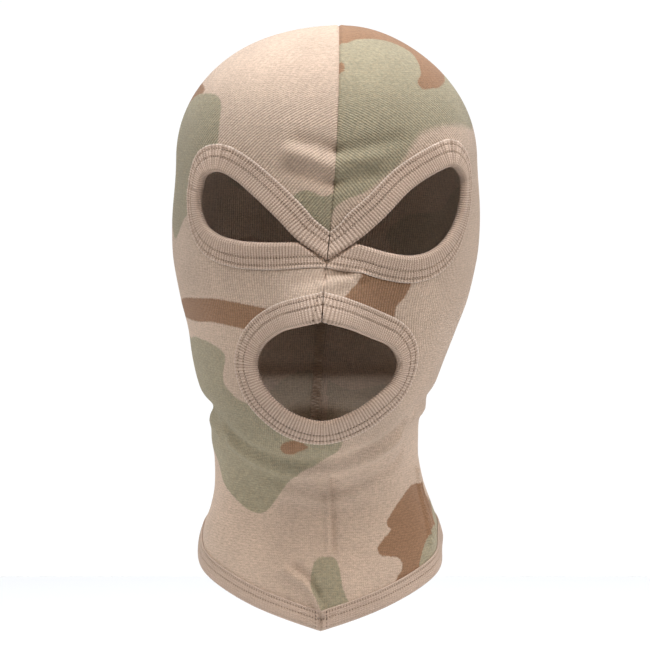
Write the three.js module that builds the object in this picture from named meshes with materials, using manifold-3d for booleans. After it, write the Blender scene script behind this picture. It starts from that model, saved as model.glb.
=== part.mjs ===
// A three-hole balaclava of rib knit, in the shape it has when worn: one camouflage panel closed by a centre
// seam, rib strips bound over the edges of the two eye openings, the mouth opening and the hem, and the
// threads that sew them on. Millimetres, +Z up, face towards -Y, +X towards the wearer's left. The origin is
// the point of the crown where the hood rests on the head.
import * as THREE from 'three';
import { mergeVertices } from 'three/addons/utils/BufferGeometryUtils.js';
import Module from 'manifold-3d';

const wasm = await Module();
wasm.setup();

// Shape of the head inside the hood: a domed crown over stacked oval sections.
const CROWN_HEIGHT = 68; // from the widest level up to the crown
const CROWN_RUN = 110; // the same stretch, measured down the surface
const CROWN_LEVEL_RUN = 1; // the surface is level this near to the crown point
const SECTION_POWER = 2.3; // 2 is an ellipse; a little more is a fuller oval
// Sections below the crown: height, half width, reach to the front, reach to the back, sideways lean.
const [HALF_WIDTH, FRONT_REACH, BACK_REACH, LEAN] = [1, 2, 3, 4];
const SECTIONS = [
  [-68, 78, 93, 93, 0],
  [-86, 78, 94, 94, 0],
  [-106, 77.5, 93, 92, -0.5],
  [-124, 77.5, 92, 88, -1],
  [-142, 75, 91, 82, -1],
  [-158, 70, 90.5, 75, -2],
  [-174, 65.5, 91, 68, -4],
  [-188, 61, 90.5, 62, -5],
  [-198, 56, 88, 59, -5],
  [-206, 54, 83.5, 58, -6],
  [-216, 54, 75, 57, -6.5],
  [-228, 53.5, 65, 55, -5.5],
  [-244, 55, 59.5, 55, -4],
  [-256, 58.5, 60, 57, -3],
  [-266, 62, 62, 59, -3],
  [-280, 63.5, 67, 63, -3],
  [-300, 65, 72, 67, -3],
  [-330, 67, 78, 71, -3],
];
const NOSE = { reach: 23, z: -146, above: 17, below: 13, halfWidth: 15 };
const EAR = { reach: 3.2, y: 4, z: -106, spread: 17 };

// Centre seam: how far it wanders sideways on its way from the crown to the mouth.
const SEAM_AT_CROWN = 6.5;
const SEAM_STRAIGHT_Z = -118; // where it crosses the middle of the face
const SEAM_SIDE_LIMIT = -2.4;
const SEAM_END_Z = -146; // it stops at the mouth opening
const SEAM_FADE = 50; // below it the middle of the panel comes back to the centre line
const SEAM_REACH = 30; // width of fabric that the wandering takes along
const SEAM_SLIT = 0.8; // between the two edges of the panel

// Cloth thicknesses, as heights over the inner face of the panel.
const PANEL_THICK = 1.1;
const GAP = 0.75; // between the panel and the strip folded around it
const STRIP_THICK = 1;
const OUTER_LEG = [PANEL_THICK + GAP, PANEL_THICK + GAP + STRIP_THICK];
const INNER_LEG = [-GAP - STRIP_THICK, -GAP];
const THREAD_GAP = 0.45;
const THREAD_THICK = 0.5;
const PANEL_EDGE_INSET = 5; // from a fold back to the edge of the panel inside it
const FOLD_OUTSIDE = 1.2; // depth of the rounded fold of a strip, outside and inside
const FOLD_INSIDE = 2;

// Bindings of the face openings, and of the hem.
const FACE_BINDING_WIDTH = 13.8;
const FACE_STITCH_ROWS = [7.9, 11.6]; // distance of each needle row from the fold
const HEM_BINDING_WIDTH = 10;
const HEM_STITCH_ROWS = [5.6, 8.6];
const INNER_LEG_SHORTER = 1;
const HEM_BACK_Z = -262;
const HEM_POINT_DROP = 45; // the point at the front hangs this much lower than the back
const HEM_POINT_POWER = 1.6;

// Folded edges of the openings, as [x, z] seen from the front. Each runs from the centre seam and back.
const UPPER_BAND_FOLD_Z = -116;
const UPPER_BAND_TOP_Z = -101.5;
const LOWER_BAND_OUTER_Z = -119.6;
const RIGHT_EYE_FOLD = [
  [-15, -105], [-23, -96.5], [-35, -85], [-46, -76], [-53, -73], [-59, -75], [-62.5, -83],
  [-63, -91], [-60, -99.5], [-54, -104], [-44, -106.5], [-30, -107], [-16.6, -106.8],
];
const LEFT_EYE_FOLD = [
  [15, -106], [28, -95], [42, -81], [55, -73], [62, -71], [67, -76], [68, -84],
  [66, -96], [60, -106], [52, -112], [42, -114], [30, -112], [16.8, -108],
];
const MOUTH_TOP_Z = -144.5;
const MOUTH_OUTER_Z = -131;
const MOUTH_FOLD = [
  [9, -148], [20, -153.5], [31, -160], [35, -168], [32.5, -177], [24, -184.5], [13, -191.5],
  [-1, -196], [-12, -194], [-22, -188.5], [-30, -180], [-34, -169], [-31, -159.5], [-22, -151], [-12, -147],
];
const END_SKEW_LENGTH = 26; // length of strip over which its end turns parallel to the seam
const SHORT_ROW_ASIDE = 2.8; // from the join of a strip to the short row of stitches beside it
const SHORT_ROW_INSET = 1.5; // from the edges of the strip to the ends of the short row
const HEM_ROW_RISE = 1; // the hem climbs this much between its point and the short rows

// Seam allowance and label inside the hood.
const OVERLOCK = { width: 5, gap: 1, thick: 1.2 };
const BEHIND_BINDINGS = { deeper: 3, above: 8, over: 6 }; // how the allowance dips behind the bindings
const SEAM_PAST_MOUTH = 2;
const NAPE_END_CLEAR = 14;
const LABEL = { halfTurn: 0.25, top: -218, height: 30, thick: 0.5, lift: -4, stitchDrop: 3 };

// How finely each piece is divided.
const CROWN_ROWS = 9;
const FACE_ROWS = 20;
const NECK_ROWS = 7;
const FACE_TOP_RUN = 98;
const FACE_BOTTOM_RUN = 252;
const FRONT_COLUMNS = 13;
const BACK_COLUMNS = 10;
const NOSE_COLUMN_POWER = 1.35; // columns crowd together towards the nose
const FRONT_TURN = (75 * Math.PI) / 180;
const EYE_STEPS = 40;
const MOUTH_STEPS = 44;
const SEAM_STEPS = 56;
const LABEL_STEPS = 6;
const SHORT_ROW_STEPS = 5;
const WELD = 1e-4; // corners closer than this are one corner

// ---- Surface of the hood -------------------------------------------------------------------------------

const bump = (value, centre, spread) => Math.exp(-0.5 * ((value - centre) / spread) ** 2);
const clamp = THREE.MathUtils.clamp;
const lerp = THREE.MathUtils.lerp;
const smooth = THREE.MathUtils.smoothstep;

// Slope of a section value at one section, from its neighbours.
function sectionSlope(index, column) {
  const before = SECTIONS[Math.max(index - 1, 0)];
  const after = SECTIONS[Math.min(index + 1, SECTIONS.length - 1)];
  return index === 0 ? 0 : (after[column] - before[column]) / (after[0] - before[0]);
}

// Half width, front reach, back reach or lean at a height, on a smooth curve through the sections.
function sectionValue(z, column) {
  const last = SECTIONS.length - 1;
  const height = clamp(z, SECTIONS[last][0], SECTIONS[0][0]);
  let index = 0;
  while (index < last - 1 && height < SECTIONS[index + 1][0]) index += 1;
  const [upper, lower] = [SECTIONS[index], SECTIONS[index + 1]];
  const step = lower[0] - upper[0];
  const t = (height - upper[0]) / step;
  const rise = 3 * t ** 2 - 2 * t ** 3;
  const leave = (t ** 3 - 2 * t ** 2 + t) * step * sectionSlope(index, column);
  const arrive = (t ** 3 - t ** 2) * step * sectionSlope(index + 1, column);
  return upper[column] * (1 - rise) + lower[column] * rise + leave + arrive;
}

// Height reached after running down the surface from the crown, and the way back.
function heightAt(run) {
  if (run > CROWN_RUN) return -CROWN_HEIGHT - (run - CROWN_RUN);
  return -CROWN_HEIGHT * (1 - Math.cos(((run / CROWN_RUN) * Math.PI) / 2));
}
function runAt(z) {
  if (z < -CROWN_HEIGHT) return CROWN_RUN - CROWN_HEIGHT - z;
  return (Math.acos(1 + z / CROWN_HEIGHT) / (Math.PI / 2)) * CROWN_RUN;
}

function seamX(z) {
  const wander = Math.max(SEAM_AT_CROWN * (1 - (z / SEAM_STRAIGHT_Z) ** 2), SEAM_SIDE_LIMIT);
  return wander * (1 - smooth(SEAM_END_Z - z, 0, SEAM_FADE));
}

// Sideways shift of the surface beside the seam. At the back the seam only leaves the middle on the crown.
function seamShift(z, isFront, x) {
  const wander = isFront ? seamX(z) : Math.max(seamX(z), 0);
  return wander * Math.exp(-((x / SEAM_REACH) ** 2));
}

// Point on the inner face: turn is the angle around the head from the front, run the way down from the crown.
function basePoint(turn, run) {
  const z = heightAt(run);
  const open = Math.min(run / CROWN_RUN, 1);
  const ease = Math.sin((open * Math.PI) / 2);
  const power = lerp(2, SECTION_POWER, ease);
  const isFront = Math.cos(turn) > 0;
  const reach = sectionValue(z, isFront ? FRONT_REACH : BACK_REACH);
  const across = Math.abs(Math.sin(turn)) / sectionValue(z, HALF_WIDTH);
  const along = Math.abs(Math.cos(turn)) / reach;
  const radius = ease / (across ** power + along ** power) ** (1 / power);
  const x = radius * Math.sin(turn);
  const noseHeight = bump(z, NOSE.z, z > NOSE.z ? NOSE.above : NOSE.below);
  const nose = isFront ? NOSE.reach * noseHeight * bump(x, 0, NOSE.halfWidth) : 0;
  const y = -radius * Math.cos(turn) - nose;
  const ear = Math.sign(x) * EAR.reach * bump(z, EAR.z, EAR.spread) * bump(y, EAR.y, EAR.spread);
  const aside = sectionValue(z, LEAN) + ear + seamShift(z, isFront, x);
  return new THREE.Vector3(x + aside, y, z);
}

// Outward normal there, from two short steps on the surface.
function baseNormal(turn, run) {
  const turnStep = 0.01;
  const runStep = 0.5;
  if (run < CROWN_LEVEL_RUN) return new THREE.Vector3(0, 0, 1);
  const round = basePoint(turn + turnStep, run).sub(basePoint(turn - turnStep, run));
  const down = basePoint(turn, run + runStep).sub(basePoint(turn, run - runStep));
  return down.cross(round).normalize();
}

// Point a given height over the inner face.
function shellPoint(turn, run, lift) {
  return basePoint(turn, run).addScaledVector(baseNormal(turn, run), lift);
}

// Angle around the head at which the front of the surface has a given x and z.
function turnAt(x, z) {
  const run = runAt(z);
  let low = -Math.PI / 2;
  let high = Math.PI / 2;
  for (let halving = 0; halving < 30; halving += 1) {
    const middle = (low + high) / 2;
    if (basePoint(middle, run).x < x) low = middle;
    else high = middle;
  }
  return (low + high) / 2;
}
const facePoint = (spot, lift) => shellPoint(turnAt(spot.x, spot.y), runAt(spot.y), lift);

// Height of the folded hem all the way round, with its point at the front.
function hemZ(turn) {
  return HEM_BACK_Z - HEM_POINT_DROP * (1 - Math.abs(turn) / Math.PI) ** HEM_POINT_POWER;
}

// ---- Solids from rows of points ------------------------------------------------------------------------

function geometryFrom(positions, index) {
  const geometry = new THREE.BufferGeometry();
  geometry.setAttribute('position', new THREE.BufferAttribute(new Float32Array(positions), 3));
  geometry.setIndex(index);
  return geometry;
}

// Turns a closed surface the right way out.
function facingOut(geometry) {
  const position = geometry.getAttribute('position');
  const index = Array.from(geometry.index.array);
  const corner = [0, 1, 2].map(() => new THREE.Vector3());
  let volume = 0;
  for (let at = 0; at < index.length; at += 3) {
    corner.forEach((point, k) => point.fromBufferAttribute(position, index[at + k]));
    volume += corner[0].dot(corner[1].cross(corner[2]));
  }
  if (volume < 0) index.reverse();
  geometry.setIndex(index);
  return geometry;
}

// A bar: the same closed outline at every station, its ends capped or joined into a ring.
function barGeometry(outline, stations, pointAt, isRing) {
  const sides = outline.length;
  const positions = [];
  for (let station = 0; station < stations; station += 1) {
    for (const [across, lift] of outline) positions.push(...pointAt(station, across, lift).toArray());
  }
  const index = [];
  for (let station = 0; station < (isRing ? stations : stations - 1); station += 1) {
    const here = station * sides;
    const next = ((station + 1) % stations) * sides;
    for (let side = 0; side < sides; side += 1) {
      const beside = (side + 1) % sides;
      index.push(here + side, next + side, here + beside, here + beside, next + side, next + beside);
    }
  }
  if (!isRing) {
    const shape = outline.map(([across, lift]) => new THREE.Vector2(across, lift));
    const end = (stations - 1) * sides;
    for (const [a, b, c] of THREE.ShapeUtils.triangulateShape(shape, [])) {
      const turned = THREE.ShapeUtils.isClockWise(shape);
      index.push(...(turned ? [c, b, a] : [a, b, c]));
      index.push(...(turned ? [end + a, end + b, end + c] : [end + c, end + b, end + a]));
    }
  }
  return facingOut(geometryFrom(positions, index));
}

// Outline of a strip folded in half over a panel edge: fold at 0, legs on both faces of the panel.
function foldedOutline(width) {
  const [outerLow, outerHigh] = OUTER_LEG;
  const [innerLow, innerHigh] = INNER_LEG;
  const innerWidth = width - INNER_LEG_SHORTER;
  const middle = (outerHigh + innerLow) / 2;
  const half = width / 2;
  return [
    [width, outerHigh], [half, outerHigh], [FOLD_OUTSIDE, outerHigh], [0, middle], [FOLD_OUTSIDE, innerLow],
    [half, innerLow], [innerWidth, innerLow], [innerWidth, innerHigh], [half, innerHigh],
    [FOLD_INSIDE, innerHigh], [FOLD_INSIDE - FOLD_OUTSIDE / 2, middle], [FOLD_INSIDE, outerLow],
    [half, outerLow], [width, outerLow],
  ];
}

// Outlines of a needle thread over the strip, and of the looper thread under it between the needle rows.
function needleOutline(across) {
  const low = OUTER_LEG[1] + THREAD_GAP;
  const half = THREAD_THICK / 2;
  return [[across - half, low], [across + half, low], [across, low + THREAD_THICK]];
}
function looperOutline([firstRow, secondRow]) {
  const high = INNER_LEG[0] - THREAD_GAP;
  const low = high - THREAD_THICK;
  return [[firstRow, high], [secondRow, high], [secondRow, low], [firstRow, low]];
}

// ---- Strips around the face openings -------------------------------------------------------------------

// Moves a spot on the face sideways from a path by a distance measured on the cloth.
function stepAside(spot, heading, distance, side) {
  const pieces = 4;
  const probe = 0.5;
  const moved = spot.clone();
  for (let piece = 0; piece < pieces; piece += 1) {
    const here = facePoint(moved, 0);
    const alongX = facePoint(moved.clone().setX(moved.x + probe), 0).sub(here).divideScalar(probe);
    const alongZ = facePoint(moved.clone().setY(moved.y + probe), 0).sub(here).divideScalar(probe);
    const travel = alongX.clone().multiplyScalar(heading.x).addScaledVector(alongZ, heading.y);
    const normal = alongX.clone().cross(alongZ);
    const aside = normal.cross(travel).normalize().multiplyScalar(side * (distance / pieces));
    const xx = alongX.dot(alongX);
    const zz = alongZ.dot(alongZ);
    const xz = alongX.dot(alongZ);
    const det = xx * zz - xz * xz;
    moved.x += (aside.dot(alongX) * zz - aside.dot(alongZ) * xz) / det;
    moved.y += (aside.dot(alongZ) * xx - aside.dot(alongX) * xz) / det;
  }
  return moved;
}

// Fold line and outer edge of an open strip, at even steps. Its two ends are turned onto given outer spots.
function stripEdges(foldSpots, outerStart, outerEnd, side, steps) {
  const points = foldSpots.map(([x, z]) => new THREE.Vector3(x, z, 0));
  const curve = new THREE.CatmullRomCurve3(points, false, 'centripetal');
  const length = curve.getLength();
  const fold = curve.getSpacedPoints(steps).map((point) => new THREE.Vector2(point.x, point.y));
  const outer = fold.map((spot, at) => {
    const heading = fold[Math.min(at + 1, steps)].clone().sub(fold[Math.max(at - 1, 0)]).normalize();
    return stepAside(spot, heading, FACE_BINDING_WIDTH, side);
  });
  const startShift = new THREE.Vector2(...outerStart).sub(outer[0]);
  const endShift = new THREE.Vector2(...outerEnd).sub(outer[steps]);
  outer.forEach((spot, at) => {
    const along = (at / steps) * length;
    spot.addScaledVector(startShift, 1 - smooth(along, 0, END_SKEW_LENGTH));
    spot.addScaledVector(endShift, 1 - smooth(length - along, 0, END_SKEW_LENGTH));
  });
  return { fold, outer };
}

// Spot on a strip at a distance from its fold.
function acrossStrip(edges, at, across) {
  return edges.fold[at].clone().lerp(edges.outer[at], across / FACE_BINDING_WIDTH);
}

function eyeEdges(foldSpots, side) {
  const atSeam = (z) => [seamX(z) + (side * SEAM_SLIT) / 2, z];
  const spots = [atSeam(UPPER_BAND_FOLD_Z), ...foldSpots];
  return stripEdges(spots, atSeam(UPPER_BAND_TOP_Z), atSeam(LOWER_BAND_OUTER_Z), side, EYE_STEPS);
}

function mouthEdges() {
  const atSeam = (side, z) => [seamX(z) + (side * SEAM_SLIT) / 2, z];
  const spots = [atSeam(1, MOUTH_TOP_Z), ...MOUTH_FOLD, atSeam(-1, MOUTH_TOP_Z)];
  return stripEdges(spots, atSeam(1, MOUTH_OUTER_Z), atSeam(-1, MOUTH_OUTER_Z), 1, MOUTH_STEPS);
}

function faceBar(edges, outline) {
  const pointAt = (station, across, lift) => facePoint(acrossStrip(edges, station, across), lift);
  return barGeometry(outline, edges.fold.length, pointAt, false);
}

// ---- Panel ---------------------------------------------------------------------------------------------

// Values at 1/count, 2/count and so on up to the whole.
const spread = (count, valueAt) => Array.from({ length: count }, (_, step) => valueAt((step + 1) / count));

const RUNS = [
  ...spread(CROWN_ROWS, (part) => part * FACE_TOP_RUN),
  ...spread(FACE_ROWS, (part) => lerp(FACE_TOP_RUN, FACE_BOTTOM_RUN, part)),
];
const TURNS = [
  0,
  ...spread(FRONT_COLUMNS, (part) => FRONT_TURN * part ** NOSE_COLUMN_POWER),
  ...spread(BACK_COLUMNS, (part) => lerp(FRONT_TURN, Math.PI, part)),
];

// Runs down one column of the panel, from the first row below the crown to the edge inside the hem.
function columnRuns(turn) {
  const edge = runAt(hemZ(turn) + PANEL_EDGE_INSET);
  return [...RUNS, ...spread(NECK_ROWS, (part) => lerp(FACE_BOTTOM_RUN, edge, part))];
}

// One half of the panel. The halves part along the seam and are one cloth in front, below the mouth.
function panelHalf(side) {
  const isJoined = (turn, run) => turn < FRONT_TURN && heightAt(run) < SEAM_END_Z;
  const place = (turn, run, lift) => {
    const point = run === 0 ? new THREE.Vector3(SEAM_AT_CROWN, 0, lift) : shellPoint(side * turn, run, lift);
    const fromSeam = Math.abs(point.x - seamX(point.z));
    if (!isJoined(turn, run)) point.x += ((side * SEAM_SLIT) / 2) * Math.exp(-fromSeam / SEAM_REACH);
    return point;
  };
  const rows = RUNS.length + NECK_ROWS;
  const columns = TURNS.length;
  const layer = 1 + rows * columns;
  const positions = [];
  for (const lift of [0, PANEL_THICK]) {
    positions.push(...place(0, 0, lift).toArray());
    for (let row = 0; row < rows; row += 1) {
      for (const turn of TURNS) positions.push(...place(turn, columnRuns(turn)[row], lift).toArray());
    }
  }
  const at = (row, column) => 1 + row * columns + column;
  const index = [];
  const addTriangle = (a, b, c) => index.push(a, b, c, c + layer, b + layer, a + layer);
  const addWall = (a, b) => index.push(a, a + layer, b, b, a + layer, b + layer);
  for (let column = 0; column < columns - 1; column += 1) {
    addTriangle(0, at(0, column), at(0, column + 1));
    for (let row = 0; row < rows - 1; row += 1) {
      addTriangle(at(row, column), at(row + 1, column), at(row, column + 1));
      addTriangle(at(row, column + 1), at(row + 1, column), at(row + 1, column + 1));
    }
    addWall(at(rows - 1, column), at(rows - 1, column + 1));
  }
  const openRows = RUNS.filter((run) => !isJoined(0, run)).length;
  for (let row = 0; row < openRows; row += 1) addWall(at(row, 0), at(row + 1, 0));
  for (let row = 0; row < rows - 1; row += 1) addWall(at(row + 1, columns - 1), at(row, columns - 1));
  addWall(0, at(0, 0));
  addWall(at(0, columns - 1), 0);
  return { positions, index: side > 0 ? index : index.reverse() };
}

function panelGeometry() {
  const halves = [panelHalf(1), panelHalf(-1)];
  const shift = halves[0].positions.length / 3;
  const positions = halves.flatMap((half) => half.positions);
  const index = [...halves[0].index, ...halves[1].index.map((corner) => corner + shift)];
  return facingOut(mergeVertices(geometryFrom(positions, index), WELD));
}

// Edge of the panel around an eye: inside the fold of the strip, and on to the seam below the upper band.
function eyeCut(edges, side) {
  const cut = edges.fold.map((_, at) => acrossStrip(edges, at, PANEL_EDGE_INSET));
  const below = LOWER_BAND_OUTER_Z + GAP;
  const topZ = cut[0].y;
  cut.unshift(new THREE.Vector2(seamX(topZ), topZ));
  cut.push(new THREE.Vector2(seamX(below), below));
  return side > 0 ? cut : cut.reverse();
}

const mouthCut = (edges) => edges.fold.map((_, at) => acrossStrip(edges, at, PANEL_EDGE_INSET));

// A prism along Y through the front of the hood, to cut an opening with.
function frontPrism(cut) {
  const depth = 110;
  const backY = -18;
  const shape = new THREE.Shape(cut);
  const prism = new THREE.ExtrudeGeometry(shape, { depth, bevelEnabled: false });
  return prism.rotateX(Math.PI / 2).translate(0, backY, 0);
}

function toManifold(geometry) {
  const bare = geometry.clone();
  bare.deleteAttribute('normal');
  bare.deleteAttribute('uv');
  const merged = mergeVertices(bare, WELD);
  return new wasm.Manifold(new wasm.Mesh({
    numProp: 3,
    vertProperties: merged.getAttribute('position').array,
    triVerts: new Uint32Array(merged.index.array),
  }));
}

function fromManifold(solid) {
  const mesh = solid.getMesh();
  return geometryFrom(mesh.vertProperties, Array.from(mesh.triVerts));
}

// ---- Hem -----------------------------------------------------------------------------------------------

// The hem strip takes its stations from the panel's columns, so both bend at the same places.
const HEM_TURNS = [...TURNS, ...TURNS.slice(1, -1).reverse().map((turn) => -turn)];

function hemBar(outline) {
  const pointAt = (station, across, lift) => {
    const turn = HEM_TURNS[station];
    return shellPoint(turn, runAt(hemZ(turn) + across), lift);
  };
  return barGeometry(outline, HEM_TURNS.length, pointAt, true);
}

// ---- Seam and label, inside the hood -------------------------------------------------------------------

// Stations along the seam: up the front from the mouth, over the crown and down the back to the nape.
function seamStations() {
  const frontRun = runAt(MOUTH_TOP_Z + SEAM_PAST_MOUTH);
  const backRun = runAt(HEM_BACK_Z + NAPE_END_CLEAR);
  return Array.from({ length: SEAM_STEPS + 1 }, (_, step) => lerp(-frontRun, backRun, step / SEAM_STEPS));
}

// A bar along the seam. It lies deeper where it passes behind the bindings of the eyes and the mouth.
function seamBar(outline) {
  const stations = seamStations();
  const pointAt = (station, across, lift) => {
    const along = stations[station];
    const run = Math.abs(along);
    const z = heightAt(run);
    const isFront = along < 0;
    const { deeper, above, over } = BEHIND_BINDINGS;
    const behind = isFront ? smooth(UPPER_BAND_TOP_Z + above - z, 0, over) : 0;
    const depth = lift - deeper * behind;
    const point = shellPoint(isFront ? 0 : Math.PI, Math.max(run, CROWN_LEVEL_RUN), depth);
    point.x += across;
    return point;
  };
  return barGeometry(outline, stations.length, pointAt, false);
}

function overlockOutline() {
  const half = OVERLOCK.width / 2;
  const high = -OVERLOCK.gap;
  const low = high - OVERLOCK.thick;
  return [[-half, high], [half, high], [half, low], [-half, low]];
}
function seamThreadOutline() {
  const high = -OVERLOCK.gap - OVERLOCK.thick - THREAD_GAP;
  const half = THREAD_THICK / 2;
  return [[-half, high], [half, high], [0, high - THREAD_THICK]];
}

// A bar across the nape, its outline given as distances down from the top of the label.
function labelBar(outline) {
  const pointAt = (station, down, lift) => {
    const turn = Math.PI + lerp(-LABEL.halfTurn, LABEL.halfTurn, station / LABEL_STEPS);
    return shellPoint(turn, runAt(LABEL.top - down), lift);
  };
  return barGeometry(outline, LABEL_STEPS + 1, pointAt, false);
}

function labelOutline() {
  const drops = [0, 1 / 3, 2 / 3, 1].map((part) => part * LABEL.height);
  const low = LABEL.lift - LABEL.thick;
  return [...drops.map((drop) => [drop, LABEL.lift]), ...drops.reverse().map((drop) => [drop, low])];
}
function labelStitchOutline() {
  const high = LABEL.lift - LABEL.thick - THREAD_GAP;
  const half = THREAD_THICK / 2;
  const drop = LABEL.stitchDrop;
  return [[drop - half, high], [drop + half, high], [drop, high - THREAD_THICK]];
}

// ---- Short rows of stitches that close the ends of the strips -------------------------------------------

// Outline of a short row, which lies over the needle threads that it crosses.
function shortRowOutline() {
  const low = OUTER_LEG[1] + THREAD_GAP + THREAD_THICK + THREAD_GAP;
  const half = THREAD_THICK / 2;
  return [[-half, low], [half, low], [0, low + THREAD_THICK]];
}
function alongShortRow(station, width) {
  return lerp(SHORT_ROW_INSET, width - SHORT_ROW_INSET, station / SHORT_ROW_STEPS);
}

function mouthJoinRow(edges) {
  const pointAt = (station, across, lift) => {
    const spot = acrossStrip(edges, MOUTH_STEPS, alongShortRow(station, FACE_BINDING_WIDTH));
    return facePoint(spot.setX(spot.x - SHORT_ROW_ASIDE + across), lift);
  };
  return barGeometry(shortRowOutline(), SHORT_ROW_STEPS + 1, pointAt, false);
}

function hemPointRow(side) {
  const pointAt = (station, across, lift) => {
    const z = hemZ(0) + alongShortRow(station, HEM_BINDING_WIDTH) + HEM_ROW_RISE;
    return facePoint(new THREE.Vector2(side * SHORT_ROW_ASIDE + across, z), lift);
  };
  return barGeometry(shortRowOutline(), SHORT_ROW_STEPS + 1, pointAt, false);
}

// ---- The balaclava -------------------------------------------------------------------------------------

const balaclava = new THREE.Group();

function addPiece(name, geometry, color, roughness) {
  const material = new THREE.MeshStandardMaterial({ color, roughness, metalness: 0 });
  const mesh = new THREE.Mesh(geometry, material);
  mesh.name = name;
  balaclava.add(mesh);
}
const CAMOUFLAGE = '#b09a86';
const BINDING_TAN = '#b39d88';
const THREAD_TAN = '#a08a76';
const LABEL_WHITE = '#e6e2da';
const KNIT_ROUGHNESS = 0.95;
const RIB_ROUGHNESS = 0.92;
const THREAD_ROUGHNESS = 0.8;
const LABEL_ROUGHNESS = 0.7;

const rightEye = eyeEdges(RIGHT_EYE_FOLD, -1);
const leftEye = eyeEdges(LEFT_EYE_FOLD, 1);
const mouth = mouthEdges();

function hoodPanel() {
  const cuts = [eyeCut(rightEye, -1), eyeCut(leftEye, 1), mouthCut(mouth)];
  const prisms = cuts.map((cut) => toManifold(frontPrism(cut)));
  return prisms.reduce((panel, prism) => panel.subtract(prism), toManifold(panelGeometry()));
}
addPiece('hood_panel', fromManifold(hoodPanel()), CAMOUFLAGE, KNIT_ROUGHNESS);

const faceStrips = { right_eye: rightEye, left_eye: leftEye, mouth };
for (const [opening, edges] of Object.entries(faceStrips)) {
  const [innerRow, outerRow] = FACE_STITCH_ROWS;
  const threads = {
    inner_needle: needleOutline(innerRow),
    outer_needle: needleOutline(outerRow),
    looper: looperOutline(FACE_STITCH_ROWS),
  };
  const strip = faceBar(edges, foldedOutline(FACE_BINDING_WIDTH));
  addPiece(`${opening}_binding`, strip, BINDING_TAN, RIB_ROUGHNESS);
  for (const [thread, outline] of Object.entries(threads)) {
    addPiece(`${opening}_${thread}_thread`, faceBar(edges, outline), THREAD_TAN, THREAD_ROUGHNESS);
  }
}

addPiece('hem_binding', hemBar(foldedOutline(HEM_BINDING_WIDTH)), BINDING_TAN, RIB_ROUGHNESS);
const hemThreads = {
  inner_needle: needleOutline(HEM_STITCH_ROWS[0]),
  outer_needle: needleOutline(HEM_STITCH_ROWS[1]),
  looper: looperOutline(HEM_STITCH_ROWS),
};
for (const [thread, outline] of Object.entries(hemThreads)) {
  addPiece(`hem_${thread}_thread`, hemBar(outline), THREAD_TAN, THREAD_ROUGHNESS);
}

addPiece('centre_seam_overlock', seamBar(overlockOutline()), CAMOUFLAGE, KNIT_ROUGHNESS);
addPiece('centre_seam_thread', seamBar(seamThreadOutline()), THREAD_TAN, THREAD_ROUGHNESS);

addPiece('mouth_join_stitch', mouthJoinRow(mouth), THREAD_TAN, THREAD_ROUGHNESS);
addPiece('right_hem_point_stitch', hemPointRow(-1), THREAD_TAN, THREAD_ROUGHNESS);
addPiece('left_hem_point_stitch', hemPointRow(1), THREAD_TAN, THREAD_ROUGHNESS);

addPiece('care_label', labelBar(labelOutline()), LABEL_WHITE, LABEL_ROUGHNESS);
addPiece('care_label_stitch', labelBar(labelStitchOutline()), LABEL_WHITE, THREAD_ROUGHNESS);

export default balaclava;
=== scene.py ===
"""Looks of a three-hole balaclava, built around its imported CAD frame.

Lengths in the tables below are millimetres in the frame's own axes: +Z up, face towards -Y, +X towards the
wearer's left, origin at the crown of the head. Meshes are turned into metres when they are made.

The openings, folds and print follow points that were picked by eye on the photograph and carried onto the
worn shape by a helper script. Points that the photograph doesn't show are guessed.
"""

import math

import bpy
import numpy as np
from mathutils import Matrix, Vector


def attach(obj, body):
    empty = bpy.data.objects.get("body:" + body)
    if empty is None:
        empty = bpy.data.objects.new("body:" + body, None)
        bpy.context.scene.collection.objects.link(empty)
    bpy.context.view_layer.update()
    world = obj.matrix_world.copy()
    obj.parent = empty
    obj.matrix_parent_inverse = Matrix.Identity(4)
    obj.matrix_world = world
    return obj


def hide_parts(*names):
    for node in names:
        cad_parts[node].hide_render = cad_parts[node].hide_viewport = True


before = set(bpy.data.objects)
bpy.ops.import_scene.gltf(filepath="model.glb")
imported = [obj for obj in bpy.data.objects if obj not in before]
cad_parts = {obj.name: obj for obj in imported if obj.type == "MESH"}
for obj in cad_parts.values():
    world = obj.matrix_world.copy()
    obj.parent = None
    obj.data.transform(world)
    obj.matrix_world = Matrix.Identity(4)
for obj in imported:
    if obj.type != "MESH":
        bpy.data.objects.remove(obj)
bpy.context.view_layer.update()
MM = 0.001

# ---- Shape of the worn hood, as in the CAD model ----

CROWN_HEIGHT = 68.0
CROWN_RUN = 110.0
SECTION_POWER = 2.3
# Height, half width, reach to the front, reach to the back, sideways lean.
SECTIONS = np.array([
    [-68, 78, 93, 93, 0],
    [-86, 78, 94, 94, 0],
    [-106, 77.5, 93, 92, -0.5],
    [-124, 77.5, 92, 88, -1],
    [-142, 75, 91, 82, -1],
    [-158, 70, 90.5, 75, -2],
    [-174, 65.5, 91, 68, -4],
    [-188, 61, 90.5, 62, -5],
    [-198, 56, 88, 59, -5],
    [-206, 54, 83.5, 58, -6],
    [-216, 54, 75, 57, -6.5],
    [-228, 53.5, 65, 55, -5.5],
    [-244, 55, 59.5, 55, -4],
    [-256, 58.5, 60, 57, -3],
    [-266, 62, 62, 59, -3],
    [-280, 63.5, 67, 63, -3],
    [-300, 65, 72, 67, -3],
    [-330, 67, 78, 71, -3],
])
HALF_WIDTH, FRONT_REACH, BACK_REACH, LEAN = 1, 2, 3, 4
NOSE = {"reach": 23, "z": -146, "above": 17, "below": 13, "half_width": 15}
EAR = {"reach": 3.2, "y": 4, "z": -106, "spread": 17}

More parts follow.
